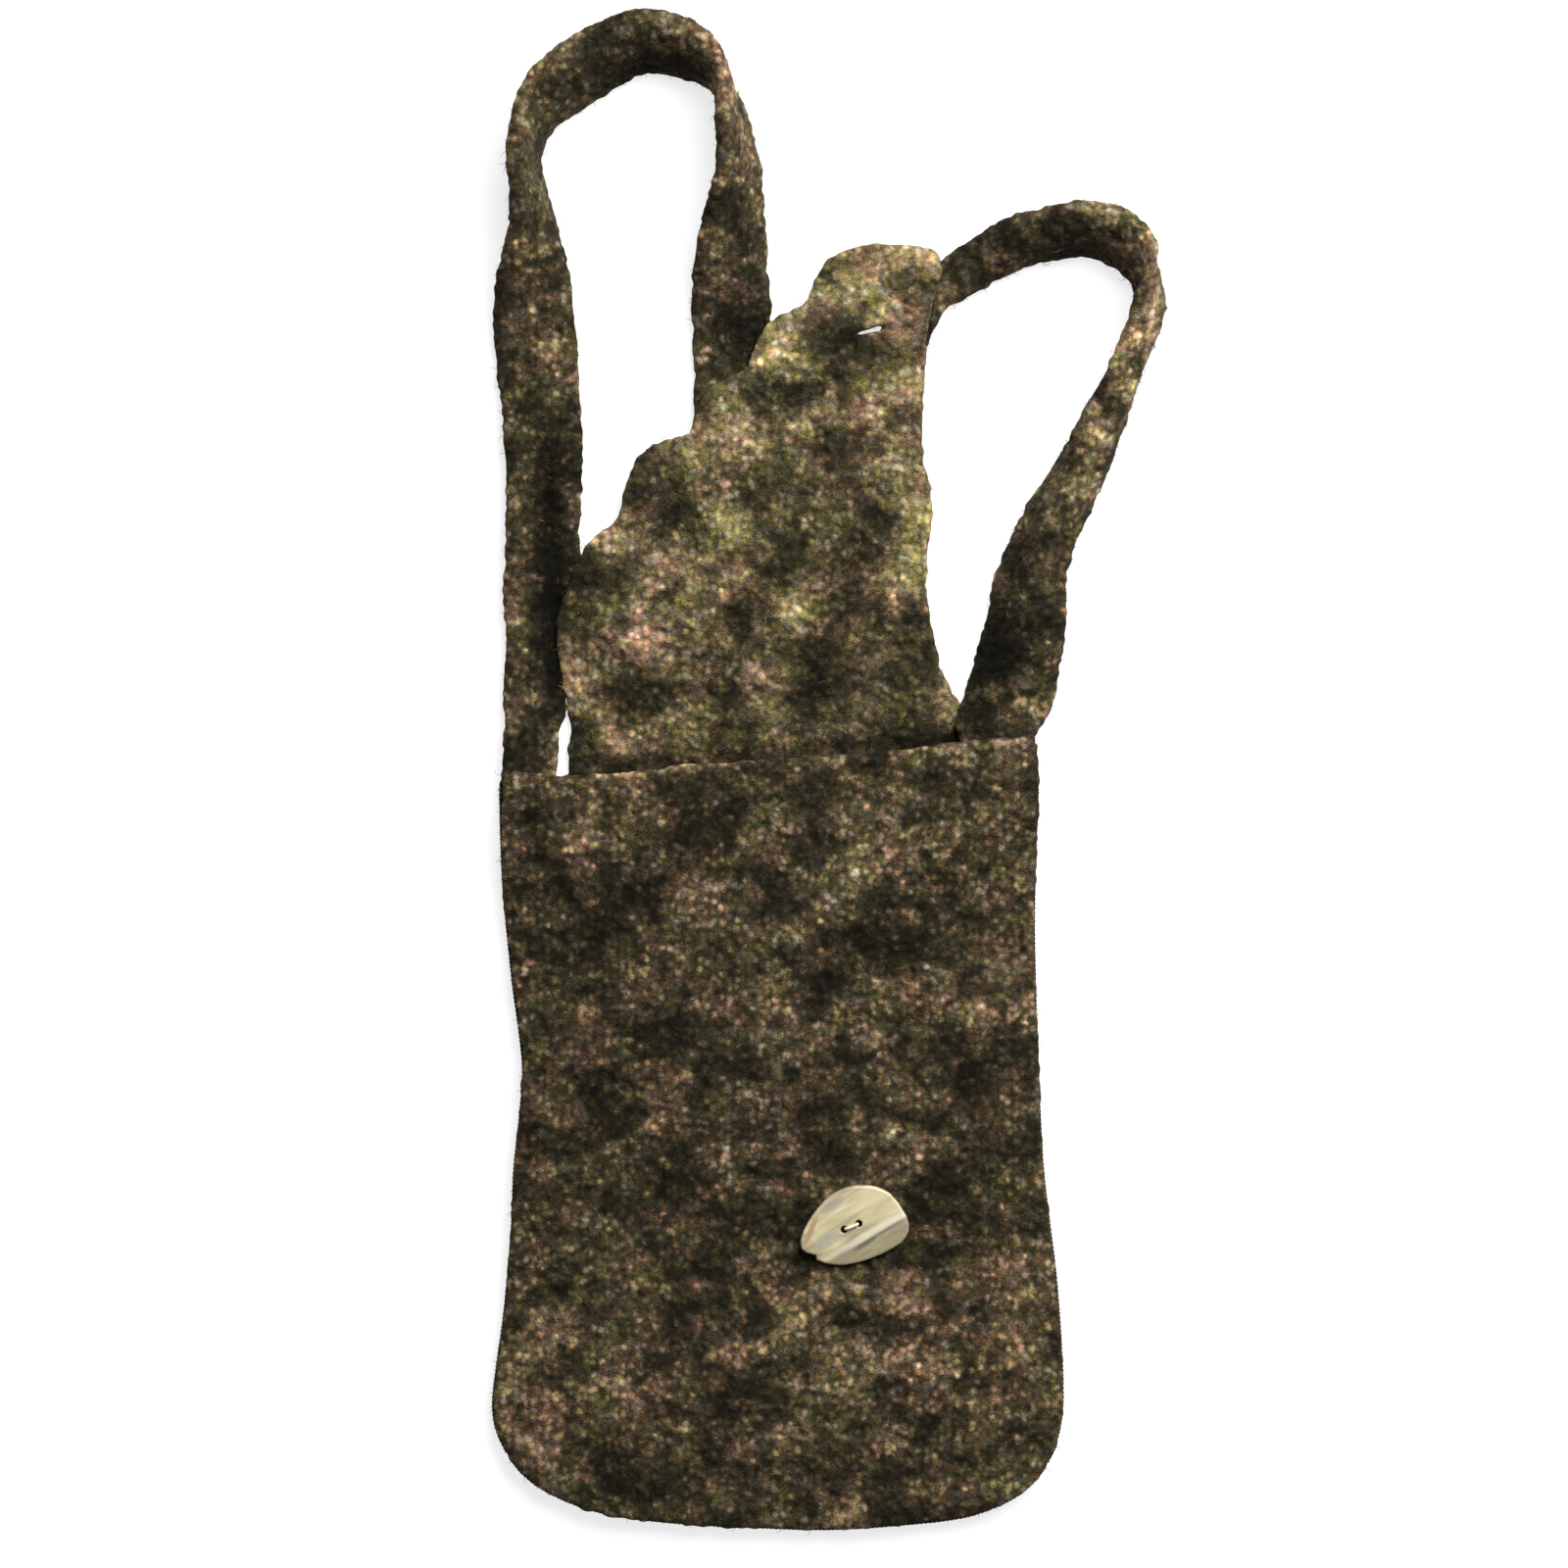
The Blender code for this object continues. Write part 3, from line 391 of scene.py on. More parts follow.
def make_horn():
    """Polished horn: streaks of cream, olive, grey and amber along the grain; painted light and
    shade at its ridge and facet.
    """
    finish = Finish(
        "horn", Roughness=0.34, Specular_IOR_Level=0.45, Coat_Weight=0.25, Coat_Roughness=0.15
    )
    seat = finish.seat(BUTTON_MIDDLE, BUTTON_GRAIN, BUTTON_HALF)
    along, across, _ = finish.split(seat)

    def grain(stretch, scale, detail, roughness, distortion, shift=0.0):
        where = finish.node("ShaderNodeMapping", "Vector", None, {
            "Vector": seat, "Scale": (1.0, stretch, 1.0), "Location": (shift, shift, 0.0)
        })
        return finish.cloud(where, scale, detail, roughness, distortion)

    def patch(middle_along, middle_across, half_along, half_across, slope=0.0):
        """1 in the middle of a slanting oval on the face, 0 outside it."""
        lengthways = (along - middle_along) * (1 / half_along)
        sideways = (across - middle_across - slope * (along - middle_along)) * (1 / half_across)
        reach = lengthways * lengthways + sideways * sideways
        return finish.spread(reach, 1.0, 0.15)

    broad = grain(2.6, 1.0, 2.0, 0.5, 0.6)
    streak = grain(7.0, 1.5, 3.0, 0.6, 0.5, 3.0)
    thin = grain(20.0, 2.2, 3.0, 0.65, 0.4, 7.0)
    tone = finish.spread(broad + 0.55 * (streak - 0.5) + 0.4 * (thin - 0.5), 0.26, 0.74)
    horn = finish.ramp(tone, (
        (0.0, (0.25, 0.215, 0.145)), (0.25, (0.36, 0.315, 0.19)), (0.5, (0.49, 0.42, 0.235)),
        (0.75, (0.6, 0.52, 0.31)), (1.0, (0.7, 0.62, 0.42)),
    ))
    cream = patch(0.62, 0.2, 0.5, 0.75)
    amber = patch(-0.68, 0.46, 0.3, 0.12, 1.0)
    smoke = patch(-0.5, 0.02, 0.28, 0.26)
    rosy = patch(-0.1, 0.74, 0.3, 0.17)
    facet = finish.spread(across, -0.49, -0.55)
    # A pale band along the ridge: painted highlight.
    ridge_highlight = finish.spread(abs(across + 0.42), 0.13, 0.03) * finish.spread(along, -0.62, -0.3)
    grey = patch(0.05, -0.6, 0.3, 0.08) + 0.7 * patch(0.46, -0.56, 0.5, 0.05)
    olive = finish.mix(streak, (0.17, 0.15, 0.09, 1.0), (0.42, 0.36, 0.2, 1.0))
    # Darker brown at the facet's far end: a painted dark reflection.
    olive = finish.mix(0.8 * patch(0.75, -0.62, 0.3, 0.3), olive, (0.24, 0.2, 0.14, 1.0))
    horn = finish.mix(0.55 * cream, horn, (0.72, 0.62, 0.37, 1.0))
    horn = finish.mix(0.85 * amber, horn, (0.34, 0.21, 0.09, 1.0))
    horn = finish.mix(0.55 * smoke, horn, (0.33, 0.325, 0.29, 1.0))
    horn = finish.mix(0.65 * rosy, horn, (0.3, 0.26, 0.23, 1.0))
    # The facet below the ridge takes the olive: partly its own colour, partly painted shade.
    horn = finish.mix(0.8 * facet, horn, olive)
    horn = finish.mix(0.6 * ridge_highlight, horn, (0.8, 0.74, 0.6, 1.0))
    horn = finish.mix(finish.spread(grey, 0.0, 1.0, 0.0, 0.9), horn, (0.1, 0.095, 0.085, 1.0))
    horn = finish.dim(horn, 0.81)
    finish.feed(
        Base_Color=horn,
        Roughness=finish.spread(thin, 0.3, 0.7, 0.26, 0.46),
        Normal=finish.bump(thin + 0.5 * streak, 0.2, 0.1 * MM),
    )
    return finish.material


# Larger patches of paler or darker felt, some of them painted light and shade: x and y of the
# middle and reach in mm, stops, and hue from rosy at -1 to yellow at 1.
BODY_PATCHES = (
    (-88, -3, 12, 0.7, -0.2), (-72, -2, 9, 0.6, 0.4), (25, -37, 11, 0.6, -0.4),
    (14, -43, 7, 0.5, 0.5), (-55, -45, 11, 0.4, -0.8), (76, -87, 10, 1.1, 0.0),
    (60, -88, 8, 0.7, -0.3), (-100, -34, 8, 0.5, -0.5), (-30, -70, 9, 0.4, 0.4),
    (-65, -146, 8, 0.6, -0.6), (6, -140, 8, 0.6, 0.0), (-118, -165, 8, 0.8, -0.6),
    (-102, -181, 8, 0.9, -0.7), (-20, -172, 9, 0.9, -0.6), (-5, -207, 8, 0.6, -0.2),
    (28, -211, 10, 0.7, -0.5), (42, -231, 11, 0.7, -0.5), (76, -234, 12, 0.7, 0.1),
    (-40, -236, 8, 0.5, -0.6), (-74, -252, 8, 0.5, -0.7), (-118, -268, 8, 0.8, -0.6),
    (55, -273, 7, 0.6, -0.6), (76, -204, 7, 0.6, -0.4), (-36, -280, 10, 0.4, -0.6),
    (16, -62, 11, -1.3, 0.3), (-110, -50, 9, -0.9, 0.3), (-75, -50, 9, -0.7, 0.3),
    (-40, -16, 9, -0.8, 0.3), (50, -8, 9, -0.7, 0.0), (50, -52, 8, -0.9, 0.0),
    (-120, -18, 8, -0.8, 0.0), (-96, -72, 9, -0.8, 0.4), (4, -82, 12, -0.7, 0.0),
    (36, -77, 9, -0.6, 0.2), (-66, -106, 13, -0.7, 0.0), (-95, -130, 8, -1.0, 0.6),
    (-54, -136, 9, -0.6, 0.5), (0, -155, 11, -0.9, 0.3), (-66, -166, 9, -0.9, 0.3),
    (42, -176, 11, -1.1, 0.4), (55, -126, 9, -0.8, 0.2), (-108, -205, 8, -0.9, 0.4),
    (-60, -232, 8, -0.9, 0.4), (20, -225, 9, -0.8, 0.6), (-40, -263, 8, -0.9, 0.0),
    (-86, -289, 12, -1.4, 0.4), (-4, -287, 15, -0.9, -0.2), (40, -266, 8, -0.8, 0.2),
)
# The flap's last patch, by the strap's left foot at the mouth, is painted shade.
FLAP_PATCHES_AND_PAINTED_SHADE = (
    (10, 190, 8, 0.5, 0.9), (-20, 174, 11, 0.6, 0.2), (27, 184, 10, 0.4, -0.6),
    (-36, 151, 11, 0.8, 0.0), (-42, 98, 11, 0.7, 0.9), (-10, 111, 8, 0.6, 0.9),
    (-76, 55, 11, 0.9, -0.9), (-96, 49, 6, 0.7, 0.0), (-50, 66, 7, 0.7, 0.3),
    (-14, 63, 8, 0.5, 0.9), (34, 86, 9, 0.9, 0.7), (33, 106, 8, 0.8, 0.7), (34, 160, 8, 0.6, 0.4),
    (10, 133, 13, 0.4, -0.6), (-104, 40, 6, 0.8, -0.6), (50, 26, 7, 0.6, 0.3),
    (-66, 82, 7, 0.1, -1.0), (-88, 16, 10, 0.3, -0.5), (-101, 66, 9, -1.1, 0.5),
    (-60, 106, 12, -0.6, 0.4), (12, 90, 12, -0.9, 0.1), (-34, 62, 8, -0.9, 0.5),
    (-22, 76, 9, -0.6, 0.4), (-5, 36, 13, -1.3, 0.2), (-75, 31, 10, -0.9, 0.4),
    (-40, 12, 12, -0.8, 0.5), (35, 62, 8, -0.8, 0.0), (25, 20, 12, -0.8, 0.4),
    (-22, 156, 8, -0.7, 0.7), (26, 144, 6, -0.8, 0.6), (9, 176, 4, -1.6, 0.0),
    (-101, 8, 7, -1.2, 0.0),
)
# Many of the strap's patches are painted light and shade: paler where the loops' outer edges and
# the right loop's right side catch the light, darker on the loops' inner faces, on the left of the
# right leg and where the strap runs under the flap's edge.
STRAP_PATCHES_AND_PAINTED_LIGHT = (
    (-120, 177, 11, 0.5, -0.4), (-133, 191, 8, -0.5, 0.3), (-118, 150, 9, 0.2, 0.8),
    (-44, 279, 11, 1.9, -0.5), (-38, 252, 11, 1.1, -0.2), (-38, 221, 9, -0.6, 0.0),
    (-34, 179, 13, -1.7, 0.0), (-48, 166, 7, 0.4, 0.0), (-47, 206, 7, 0.4, 0.0),
    (-123, 266, 9, 0.5, 0.3), (131, 206, 11, 1.7, -0.2), (126, 180, 13, 1.8, -0.2),
    (107, 112, 9, 1.2, 0.2), (88, 35, 8, 0.6, 0.4), (67, 50, 10, -1.3, 0.0), (74, 86, 9, -1.0, 0.0),
    (62, 28, 8, -1.2, 0.2), (96, 126, 8, -0.7, 0.4), (-130, 110, 6, 0.6, 0.6),
    (-129, 60, 6, 0.5, 0.0), (-73, 286, 9, -1.6, 0.0), (-92, 281, 9, -0.5, 0.0),
    (-57, 285, 8, -1.2, 0.0), (104, 209, 8, -1.1, 0.0), (90, 212, 8, -0.9, 0.0),
    (117, 205, 6, -0.9, 0.0), (-123, 205, 10, 0.8, 0.2), (-116, 218, 8, -0.4, 0.2),
    (-84, 301, 6, 0.8, 0.3), (-66, 303, 6, 0.9, 0.4), (-50, 297, 6, 0.7, 0.0),
    (104, 229, 7, 1.2, 0.5), (119, 224, 8, 1.1, 0.4), (87, 226, 7, 0.8, 0.3),
    (118, 154, 11, 1.7, 0.0), (112, 134, 8, 1.1, 0.4), (78, 55, 14, -0.5, 0.2),
    (64, 41, 8, -1.0, 0.0), (58, 21, 7, -1.1, 0.0), (86, 64, 10, -0.4, 0.0), (70, 66, 8, -0.8, 0.0),
    (-100, 293, 8, 0.2, 0.6),
)


# Shaping
def smooth_step(value):
    value = np.clip(value, 0.0, 1.0)
    return value * value * (3.0 - 2.0 * value)


def bell(value):
    """1 at 0, falling smoothly towards 0 past 1 and -1."""
    return np.exp(-(value**2))


def between(ends, share):
    return ends[0] + (ends[1] - ends[0]) * share


def points_of(mesh):
    found = np.empty(len(mesh.vertices) * 3, np.float32)
    mesh.vertices.foreach_get("co", found)
    return found.reshape(-1, 3).astype(float)


def normals_of(mesh):
    found = np.empty(len(mesh.vertices) * 3, np.float32)
    mesh.vertex_normals.foreach_get("vector", found)
    return found.reshape(-1, 3).astype(float)


def set_points(mesh, points):
    mesh.vertices.foreach_set("co", points.astype(np.float32).ravel())
    mesh.update()


def add_piece(name, mesh):
    piece = bpy.data.objects.new(name, mesh)
    bpy.context.scene.collection.objects.link(piece)
    return piece


def solid_copy(name, nodes, shape=None):
    """The named solids, merged and joined in one new piece, whose points shape may move."""
    bm = bmesh.new()
    for node in nodes:
        bm.from_mesh(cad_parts[node].data)
    bmesh.ops.remove_doubles(bm, verts=bm.verts, dist=0.005 * MM)
    if shape:
        for vertex in bm.verts:
            shape(vertex.co)
    mesh = bpy.data.meshes.new(name)
    bm.to_mesh(mesh)
    bm.free()
    return add_piece(name, mesh)


def settle(piece, kind=None, **settings):
    """Makes the piece's own mesh of what its curve or one modifier gives."""
    if kind:
        modifier = piece.modifiers.new(kind, kind)
        for key, value in settings.items():
            setattr(modifier, key, value)
    graph = bpy.context.evaluated_depsgraph_get()
    mesh = bpy.data.meshes.new_from_object(piece.evaluated_get(graph))
    mesh.name = piece.name
    if kind:
        piece.modifiers.clear()
        old, piece.data = piece.data, mesh
        bpy.data.meshes.remove(old)
        return piece
    name = piece.name
    bpy.data.objects.remove(piece)
    return add_piece(name, mesh)


def fine_mesh(piece, voxel, rounds):
    settle(piece, "REMESH", mode="VOXEL", voxel_size=voxel)
    settle(piece, "SMOOTH", factor=0.5, iterations=rounds)


def scatter(cells, seed):
    """Six random numbers, from 0 to 1, for each cell of a lattice."""
    mixed = cells[:, 0] * 73856093 ^ cells[:, 1] * 19349663 ^ cells[:, 2] * 83492791
    mixed = (mixed + seed * 2654435761) & 0xFFFFFFFF
    found = []
    for _ in range(6):
        mixed = (mixed ^ (mixed >> 15)) * 2246822519 & 0xFFFFFFFF
        mixed = (mixed ^ (mixed >> 13)) * 3266489917 & 0xFFFFFFFF
        mixed = mixed ^ (mixed >> 16)
        found.append(mixed / 0xFFFFFFFF)
    return np.stack(found, axis=1)


def pebbles(points, seed):
    """How near the middle of its felted stitch each point is, and two numbers of that stitch."""
    shares = points / np.array(PEBBLE)
    home = np.floor(shares).astype(np.int64)
    total = np.full(len(points), 1e-9)
    picks = np.zeros((len(points), 2))
    for offset in itertools.product((-1, 0, 1), repeat=3):
        cells = home + np.array(offset)
        chance = scatter(cells, seed)
        away = np.linalg.norm(cells + chance[:, :3] - shares, axis=1)
        away *= 1.25 - 0.5 * chance[:, 5]
        weight = np.exp(-PEBBLE_SOFTNESS * away**2)
        total += weight
        picks += weight[:, None] * chance[:, 3:5]
    away_squared = np.clip(-np.log(total) / PEBBLE_SOFTNESS, 0.0, None)
    return np.clip(1.0 - away_squared / 0.5, 0.0, 1.0), picks / total[:, None]


def waves(points, size, seed):
    """Smooth rises and hollows of about this size, from -1 to 1."""
    shift = Vector((seed * 7.3, seed * 3.1, seed * 1.7))
    return np.array([noise.noise(Vector(point) / size + shift) for point in points])


def filled_points(piece):
    """The felt's points, with its rounded edges swollen outwards over the seams."""
    flat = normals_of(piece.data) * np.array((1.0, 1.0, 0.0))
    lean = np.linalg.norm(flat, axis=1)
    return points_of(piece.data) + flat * (EDGE_FILL * lean)[:, None]


def above_rim(points):
    return points[:, 1] - np.interp(points[:, 0], RIM_X, RIM_Y)


def on_upper_face(points, bottom):
    """1 on the upper face and 0 at the bottom, for what is pressed into the felt from above."""
    return smooth_step((points[:, 2] - bottom) / UPPER_EASE)


def away_from(points, x, y):
    """Distance in plan from a place that is given in mm."""
    return np.hypot(points[:, 0] - x * MM, points[:, 1] - y * MM)


def nudge(points, nudges):
    """Moves points sideways round each given place."""
    for x, y, reach, shift in nudges:
        points[:, 0] += shift * MM * bell(away_from(points, x, y) / (reach * MM))


def group_points(piece, chosen):
    """A group of the chosen points, for a modifier to work on."""
    group = piece.vertex_groups.new(name="chosen")
    for index in np.flatnonzero(chosen):
        group.add([int(index)], 1.0, "REPLACE")
    return group.name


def even_out(piece, rounds):
    """Smooths the felt over the line where two solids of it meet."""
    near_fold = np.abs(points_of(piece.data)[:, 1] - FOLD_Y) < FOLD_REACH
    chosen = group_points(piece, near_fold)
    settle(piece, "SMOOTH", factor=0.5, iterations=rounds, vertex_group=chosen)
    piece.vertex_groups.clear()


def round_curve(name, radius, rounding):
    curve = bpy.data.curves.new(name, "CURVE")
    curve.dimensions = "3D"
    curve.bevel_depth = radius
    curve.bevel_resolution = rounding
    curve.use_fill_caps = True
    return curve


def set_pebbles(mesh, crown, pick, hue, tone):
    """Keeps four numbers for each point of the felt, for its finish to read."""
    colours = np.empty((len(mesh.vertices), 4), np.float32)
    for place, numbers in enumerate((crown, pick, hue, tone)):
        colours[:, place] = np.clip(numbers, 0.0, 1.0)
    layer = mesh.attributes.new("pebble", "FLOAT_COLOR", "POINT")
    layer.data.foreach_set("color", colours.ravel())
    mesh.shade_smooth()


def felt_over(piece, seed, patches, shade, spare):
    """Gives the piece its pebbles, its slow waves and its patches.

    shade gives each point's painted light and shade beside those, in stops, and spare says which
    points are hidden and may lose triangles.
    """
    points, normals = points_of(piece.data), normals_of(piece.data)
    crown, picks = pebbles(points, seed)
    rise = PEBBLE_RISE * (crown - 0.6) * (0.5 + picks[:, 0]) * (0.4 + 0.6 * np.abs(normals[:, 2]))
    for step, (height, length) in enumerate(WAVES):
        rise += height * MM * waves(points, length * MM, seed + step)
    points += normals * rise[:, None]
    set_points(piece.data, points)
    total = 2 * len(points)
    if total > MOST_TRIANGLES:
        settle(
            piece, "DECIMATE", ratio=MOST_TRIANGLES / total, vertex_group_factor=10.0,
            vertex_group=group_points(piece, spare(points, normals)),
        )
        piece.vertex_groups.clear()
    points = points_of(piece.data)
    crown, picks = pebbles(points, seed)
    ragged = RAGGED * waves(points, RAGGED_LENGTH, seed + 4)
    stops, hues = shade(points), STITCH_HUES * (picks[:, 1] - 0.5)
    for x, y, reach, change, hue in patches:
        away = (away_from(points, x, y) + ragged) / (reach * MM)
        strength = bell(np.clip(away, 0.0, None))
        stops += (LIGHTER if change > 0 else DARKER) * change * strength
        hues += 0.5 * hue * strength
    set_pebbles(piece.data, crown, picks[:, 0], 0.5 + hues, 0.5 + stops / TONE_SPAN)


def add_hairs(name, piece, count, seed):
    """Short loose hairs that stand out of the felt and bend over it."""
    points, normals = points_of(piece.data), normals_of(piece.data)
    pick = np.random.default_rng(seed)
    curve = round_curve(name, HAIR_RADIUS, 0)
    for root in pick.choice(np.flatnonzero(normals[:, 2] > -0.3), count, replace=False):
        normal = Vector(normals[root])
        ahead = (0.55 * normal + Vector(pick.normal(size=3)).normalized()).normalized()
        side = ahead.cross(Vector(pick.normal(size=3))).normalized()
        length = pick.uniform(*HAIR_LENGTH)
        start = Vector(points[root]) - HAIR_ROOT * normal
        knee = start + 0.5 * length * ahead
        tip = knee + length * (0.4 * ahead + 0.25 * side - 0.3 * normal)
        spline = curve.splines.new("POLY")
        spline.points.add(2)
        for place, point, taper in zip(spline.points, (start, knee, tip), HAIR_TAPER):
            place.co = (*point, 1.0)
            place.radius = taper
    hairs = settle(add_piece(name, curve))
    set_pebbles(hairs.data, *HAIR_STITCH)
    hairs.data.materials.append(piece.data.materials[0])
    return hairs


# Felt pieces
def make_front():
    """The front panel, with a curled rim and its top corners pressed and drawn in to the strap."""
    front = solid_copy("front_felt", ["front_panel"])
    fine_mesh(front, FELT_VOXEL, 4)
    points = filled_points(front)
    above = above_rim(points)
    points[:, 2] += RIM_LIFT * smooth_step((above + RIM_ROLL) / RIM_ROLL)
    in_corner = smooth_step((CORNER_X - points[:, 0]) / CORNER_EASE)
    in_corner *= smooth_step((above + CORNER_DEPTH) / CORNER_DEPTH)
    above_strap = np.clip(points[:, 2] - STRAP_TOP, 0.0, None)
    points[:, 2] -= above_strap * CORNER_PRESS * in_corner
    inwards = smooth_step((DRAW_LEFT - points[:, 0]) / DRAW_EASE)
    inwards -= smooth_step((points[:, 0] - DRAW_RIGHT) / DRAW_EASE)
    points[:, 0] += DRAW * inwards * smooth_step((above + DRAW_DEPTH) / DRAW_DEPTH)
    set_points(front.data, points)

    def rim_highlight(points):
        """Painted highlight: the top of the front is paler where it catches the light."""
        lit_share = between((RIM_HIGHLIGHT_LEAST, 1.0), bell((points[:, 0] - RIM_HIGHLIGHT_X) / RIM_HIGHLIGHT_REACH))
        return lit_share * bell(above_rim(points) / RIM_HIGHLIGHT_DEPTH)

    felt_over(front, 3, BODY_PATCHES, rim_highlight, lambda points, normals: normals[:, 2] < -0.5)
    return front


def draw_to_tongue(point):
    """Draws the tongue's and the flap's end faces into one another."""
    nearest, farthest = TONGUE_REACH
    if nearest < point.y - FOLD_Y < farthest and point.z < FELT + 0.5 * MM:
        point.y = FOLD_Y + (TONGUE_LAP if point.y < FOLD_Y + MEETING else -LAP)


def draw_to_end(point):
    """Draws the strap's and its ends' faces into one another."""
    if abs(point.y - FOLD_Y) < END_REACH:
        point.y += LAP if point.y < FOLD_Y + MEETING else -LAP


def make_back():
    """Back panel and flap in one: dipped at the mouth, and sagging beside the strap under it."""
    back = solid_copy("back_and_flap_felt", ["back_panel", "flap"], draw_to_tongue)
    fine_mesh(back, FELT_VOXEL, 4)
    even_out(back, 60)
    points = filled_points(back)
    dip = bell((above_rim(points) - MOUTH_DIP_ABOVE) / MOUTH_DIP_HALF)
    points[:, 2] -= MOUTH_DIP * dip * on_upper_face(points, 0.5 * MM)
    nudge(points, FLAP_NUDGES)
    strap_points = points_of(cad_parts["strap"].data)
    tree = kdtree.KDTree(len(strap_points))
    for index, (x, y, _) in enumerate(strap_points):
        tree.insert((x, y, 0.0), index)
    tree.balance()
    from_strap = np.array([tree.find((x, y, 0.0))[2] for x, y, _ in points]) - SAG_FROM
    on_flap = smooth_step((points[:, 1] - SAG_Y) / SAG_EASE)
    points[:, 2] -= SAG * smooth_step(from_strap / SAG_REACH) * on_flap
    set_points(back.data, points)

    def mouth_shade(points):
        """Little light gets down between the back and the rim."""
        rightward = smooth_step((points[:, 0] - MOUTH_LEFT) / MOUTH_SPAN)
        above = np.clip(above_rim(points), 0.0, None)
        return -between(MOUTH_DARK, rightward) * bell(above / between(MOUTH_REACH, rightward))

    def hidden(points, normals):
        return (points[:, 1] < -12 * MM) | (normals[:, 2] < -0.7)

    felt_over(back, 5, FLAP_PATCHES_AND_PAINTED_SHADE, mouth_shade, hidden)
    return back


def make_strap():
    """The strap and both its ends in one, with a trough down its left leg."""
    strap = solid_copy("strap_felt", ["strap", "left_strap_end", "right_strap_end"], draw_to_end)
    fine_mesh(strap, FELT_VOXEL, 5)
    even_out(strap, 40)

    def trough(points):
        depth = np.interp(points[:, 1], TROUGH_Y, TROUGH_DEPTH, left=0.0, right=0.0)
        aside = points[:, 0] - np.interp(points[:, 1], TROUGH_Y, TROUGH_X)
        return depth * bell(aside / TROUGH_HALF_WIDTH)

    points = filled_points(strap)
    points[:, 2] -= trough(points) * on_upper_face(points, 1.0 * MM)
    nudge(points, STRAP_NUDGES)
    set_points(strap.data, points)
    felt_over(strap, 7, STRAP_PATCHES_AND_PAINTED_LIGHT, lambda points: -TROUGH_SHADE * trough(points) / MM,
              lambda points, normals: normals[:, 2] < -0.8)
    return strap


front = make_front()
front.data.materials.append(make_felt(
    "body_felt", tone=0.2, patchy=3.2, patch_scale=45.0, beady=2.9, nubby=1.0, olive=-0.03,
    seed=0.0, zones=((-0.17, -0.26, 0.3),),
))
back = make_back()
# The flap felt's second zone darkens the back from just under the fold downwards: painted shade at
# the mouth.
back.data.materials.append(make_felt(
    "flap_felt", tone=1.1, patchy=4.8, patch_scale=34.0, beady=2.1, nubby=1.0, olive=0.02,
    seed=3.0, zones=((0.155, 0.19, 1.0), (0.02, -0.01, -0.5)),
))
strap = make_strap()
strap.data.materials.append(make_felt(
    "strap_felt", tone=0.25, patchy=4.4, patch_scale=42.0, beady=2.7, nubby=0.9, olive=-0.02,
    seed=6.0,
))


# Yarn
def centreline(node, order, parting):
    """Middles of the rings of a node's tube, in the order of a number given for each point."""
    points = points_of(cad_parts[node].data)
    places = np.array([order(point) for point in points])
    turns = np.argsort(places)
    points, places = points[turns], places[turns]
    starts = np.flatnonzero(np.diff(places) > parting) + 1
    return [Vector(group.mean(0)) for group in np.split(points, starts)]


def evenly(points, step):
    """The same route with points about one step apart, on a smooth curve."""
    found = []
    for index in range(len(points) - 1):
        before, start = points[max(index - 1, 0)], points[index]
        end, after = points[index + 1], points[min(index + 2, len(points) - 1)]
        count = max(1, round((end - start).length / step))
        for share in (number / count for number in range(count)):
            square, cube = share**2, share**3
            found.append((
                start * (2.0 - 5.0 * square + 3.0 * cube)
                + before * (2.0 * square - cube - share)
                + end * (share + 4.0 * square - 3.0 * cube)
                + after * (cube - square)
            ) / 2.0)
    return found + [points[-1]]


def plied(name, route, upright, plies, radius, turn, closed=False):
    """Plies twisted round a route. upright is a direction that the route never takes."""
    curve = round_curve(name, radius * PLY_SHARE[plies], 1)
    length = 0.0
    steps = []
    for index, point in enumerate(route):
        after = route[(index + 1) % len(route)] if closed else route[min(index + 1, len(route) - 1)]
        before = route[index - 1] if closed or index else route[0]
        ahead = (after - before).normalized()
        side = ahead.cross(upright).normalized()
        steps.append((point, side, side.cross(ahead), length))
        length += (after - point).length
    if closed:
        turn = length / round(length / turn)
    for ply in range(plies):
        spline = curve.splines.new("POLY")
        spline.points.add(len(steps) - 1)
        spline.use_cyclic_u = closed
        for place, (point, side, up, along) in zip(spline.points, steps):
            angle = math.tau * (along / turn + ply / plies)
            away = side * math.cos(angle) + up * math.sin(angle)
            place.co = (*(point + away * (radius - curve.bevel_depth)), 1.0)
    piece = settle(add_piece(name, curve))
    piece.data.shade_smooth()
    return piece


def round_the_pouch(point):
    """How far round the pouch's outline a point is, from the middle of its mouth."""
    turn = math.atan2(point[0] - POUCH_MIDDLE.x, point[1] - POUCH_MIDDLE.y) % math.tau
    return turn * POUCH_REACH


def rightwards(point):
    return point[0]


YARNS = (
    ("left_seam_yarn", "left_seam_plies", round_the_pouch),
    ("bottom_seam_yarn", "bottom_seam_plies", round_the_pouch),
    ("right_seam_yarn", "right_seam_plies", round_the_pouch),
    ("left_strap_stitch", "left_strap_sewing", rightwards),
    ("right_strap_stitch", "right_strap_sewing", rightwards),
)
yarn_finish = make_yarn_finish()
yarns = []
for node, name, order in YARNS:
    route = evenly(centreline(node, order, RING_PARTING), YARN_STEP)
    yarn = plied(name, route, UP, 2, YARN_RADIUS, YARN_TURN)
    yarn.data.materials.append(yarn_finish)
    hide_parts(node)
    yarns.append(yarn)


# Button and its cord
def make_button():
    button = solid_copy("button_of_horn", ["horn_button"])
    fine_mesh(button, HORN_VOXEL, 2)
    button.data.shade_smooth()
    button.data.materials.append(make_horn())
    return button


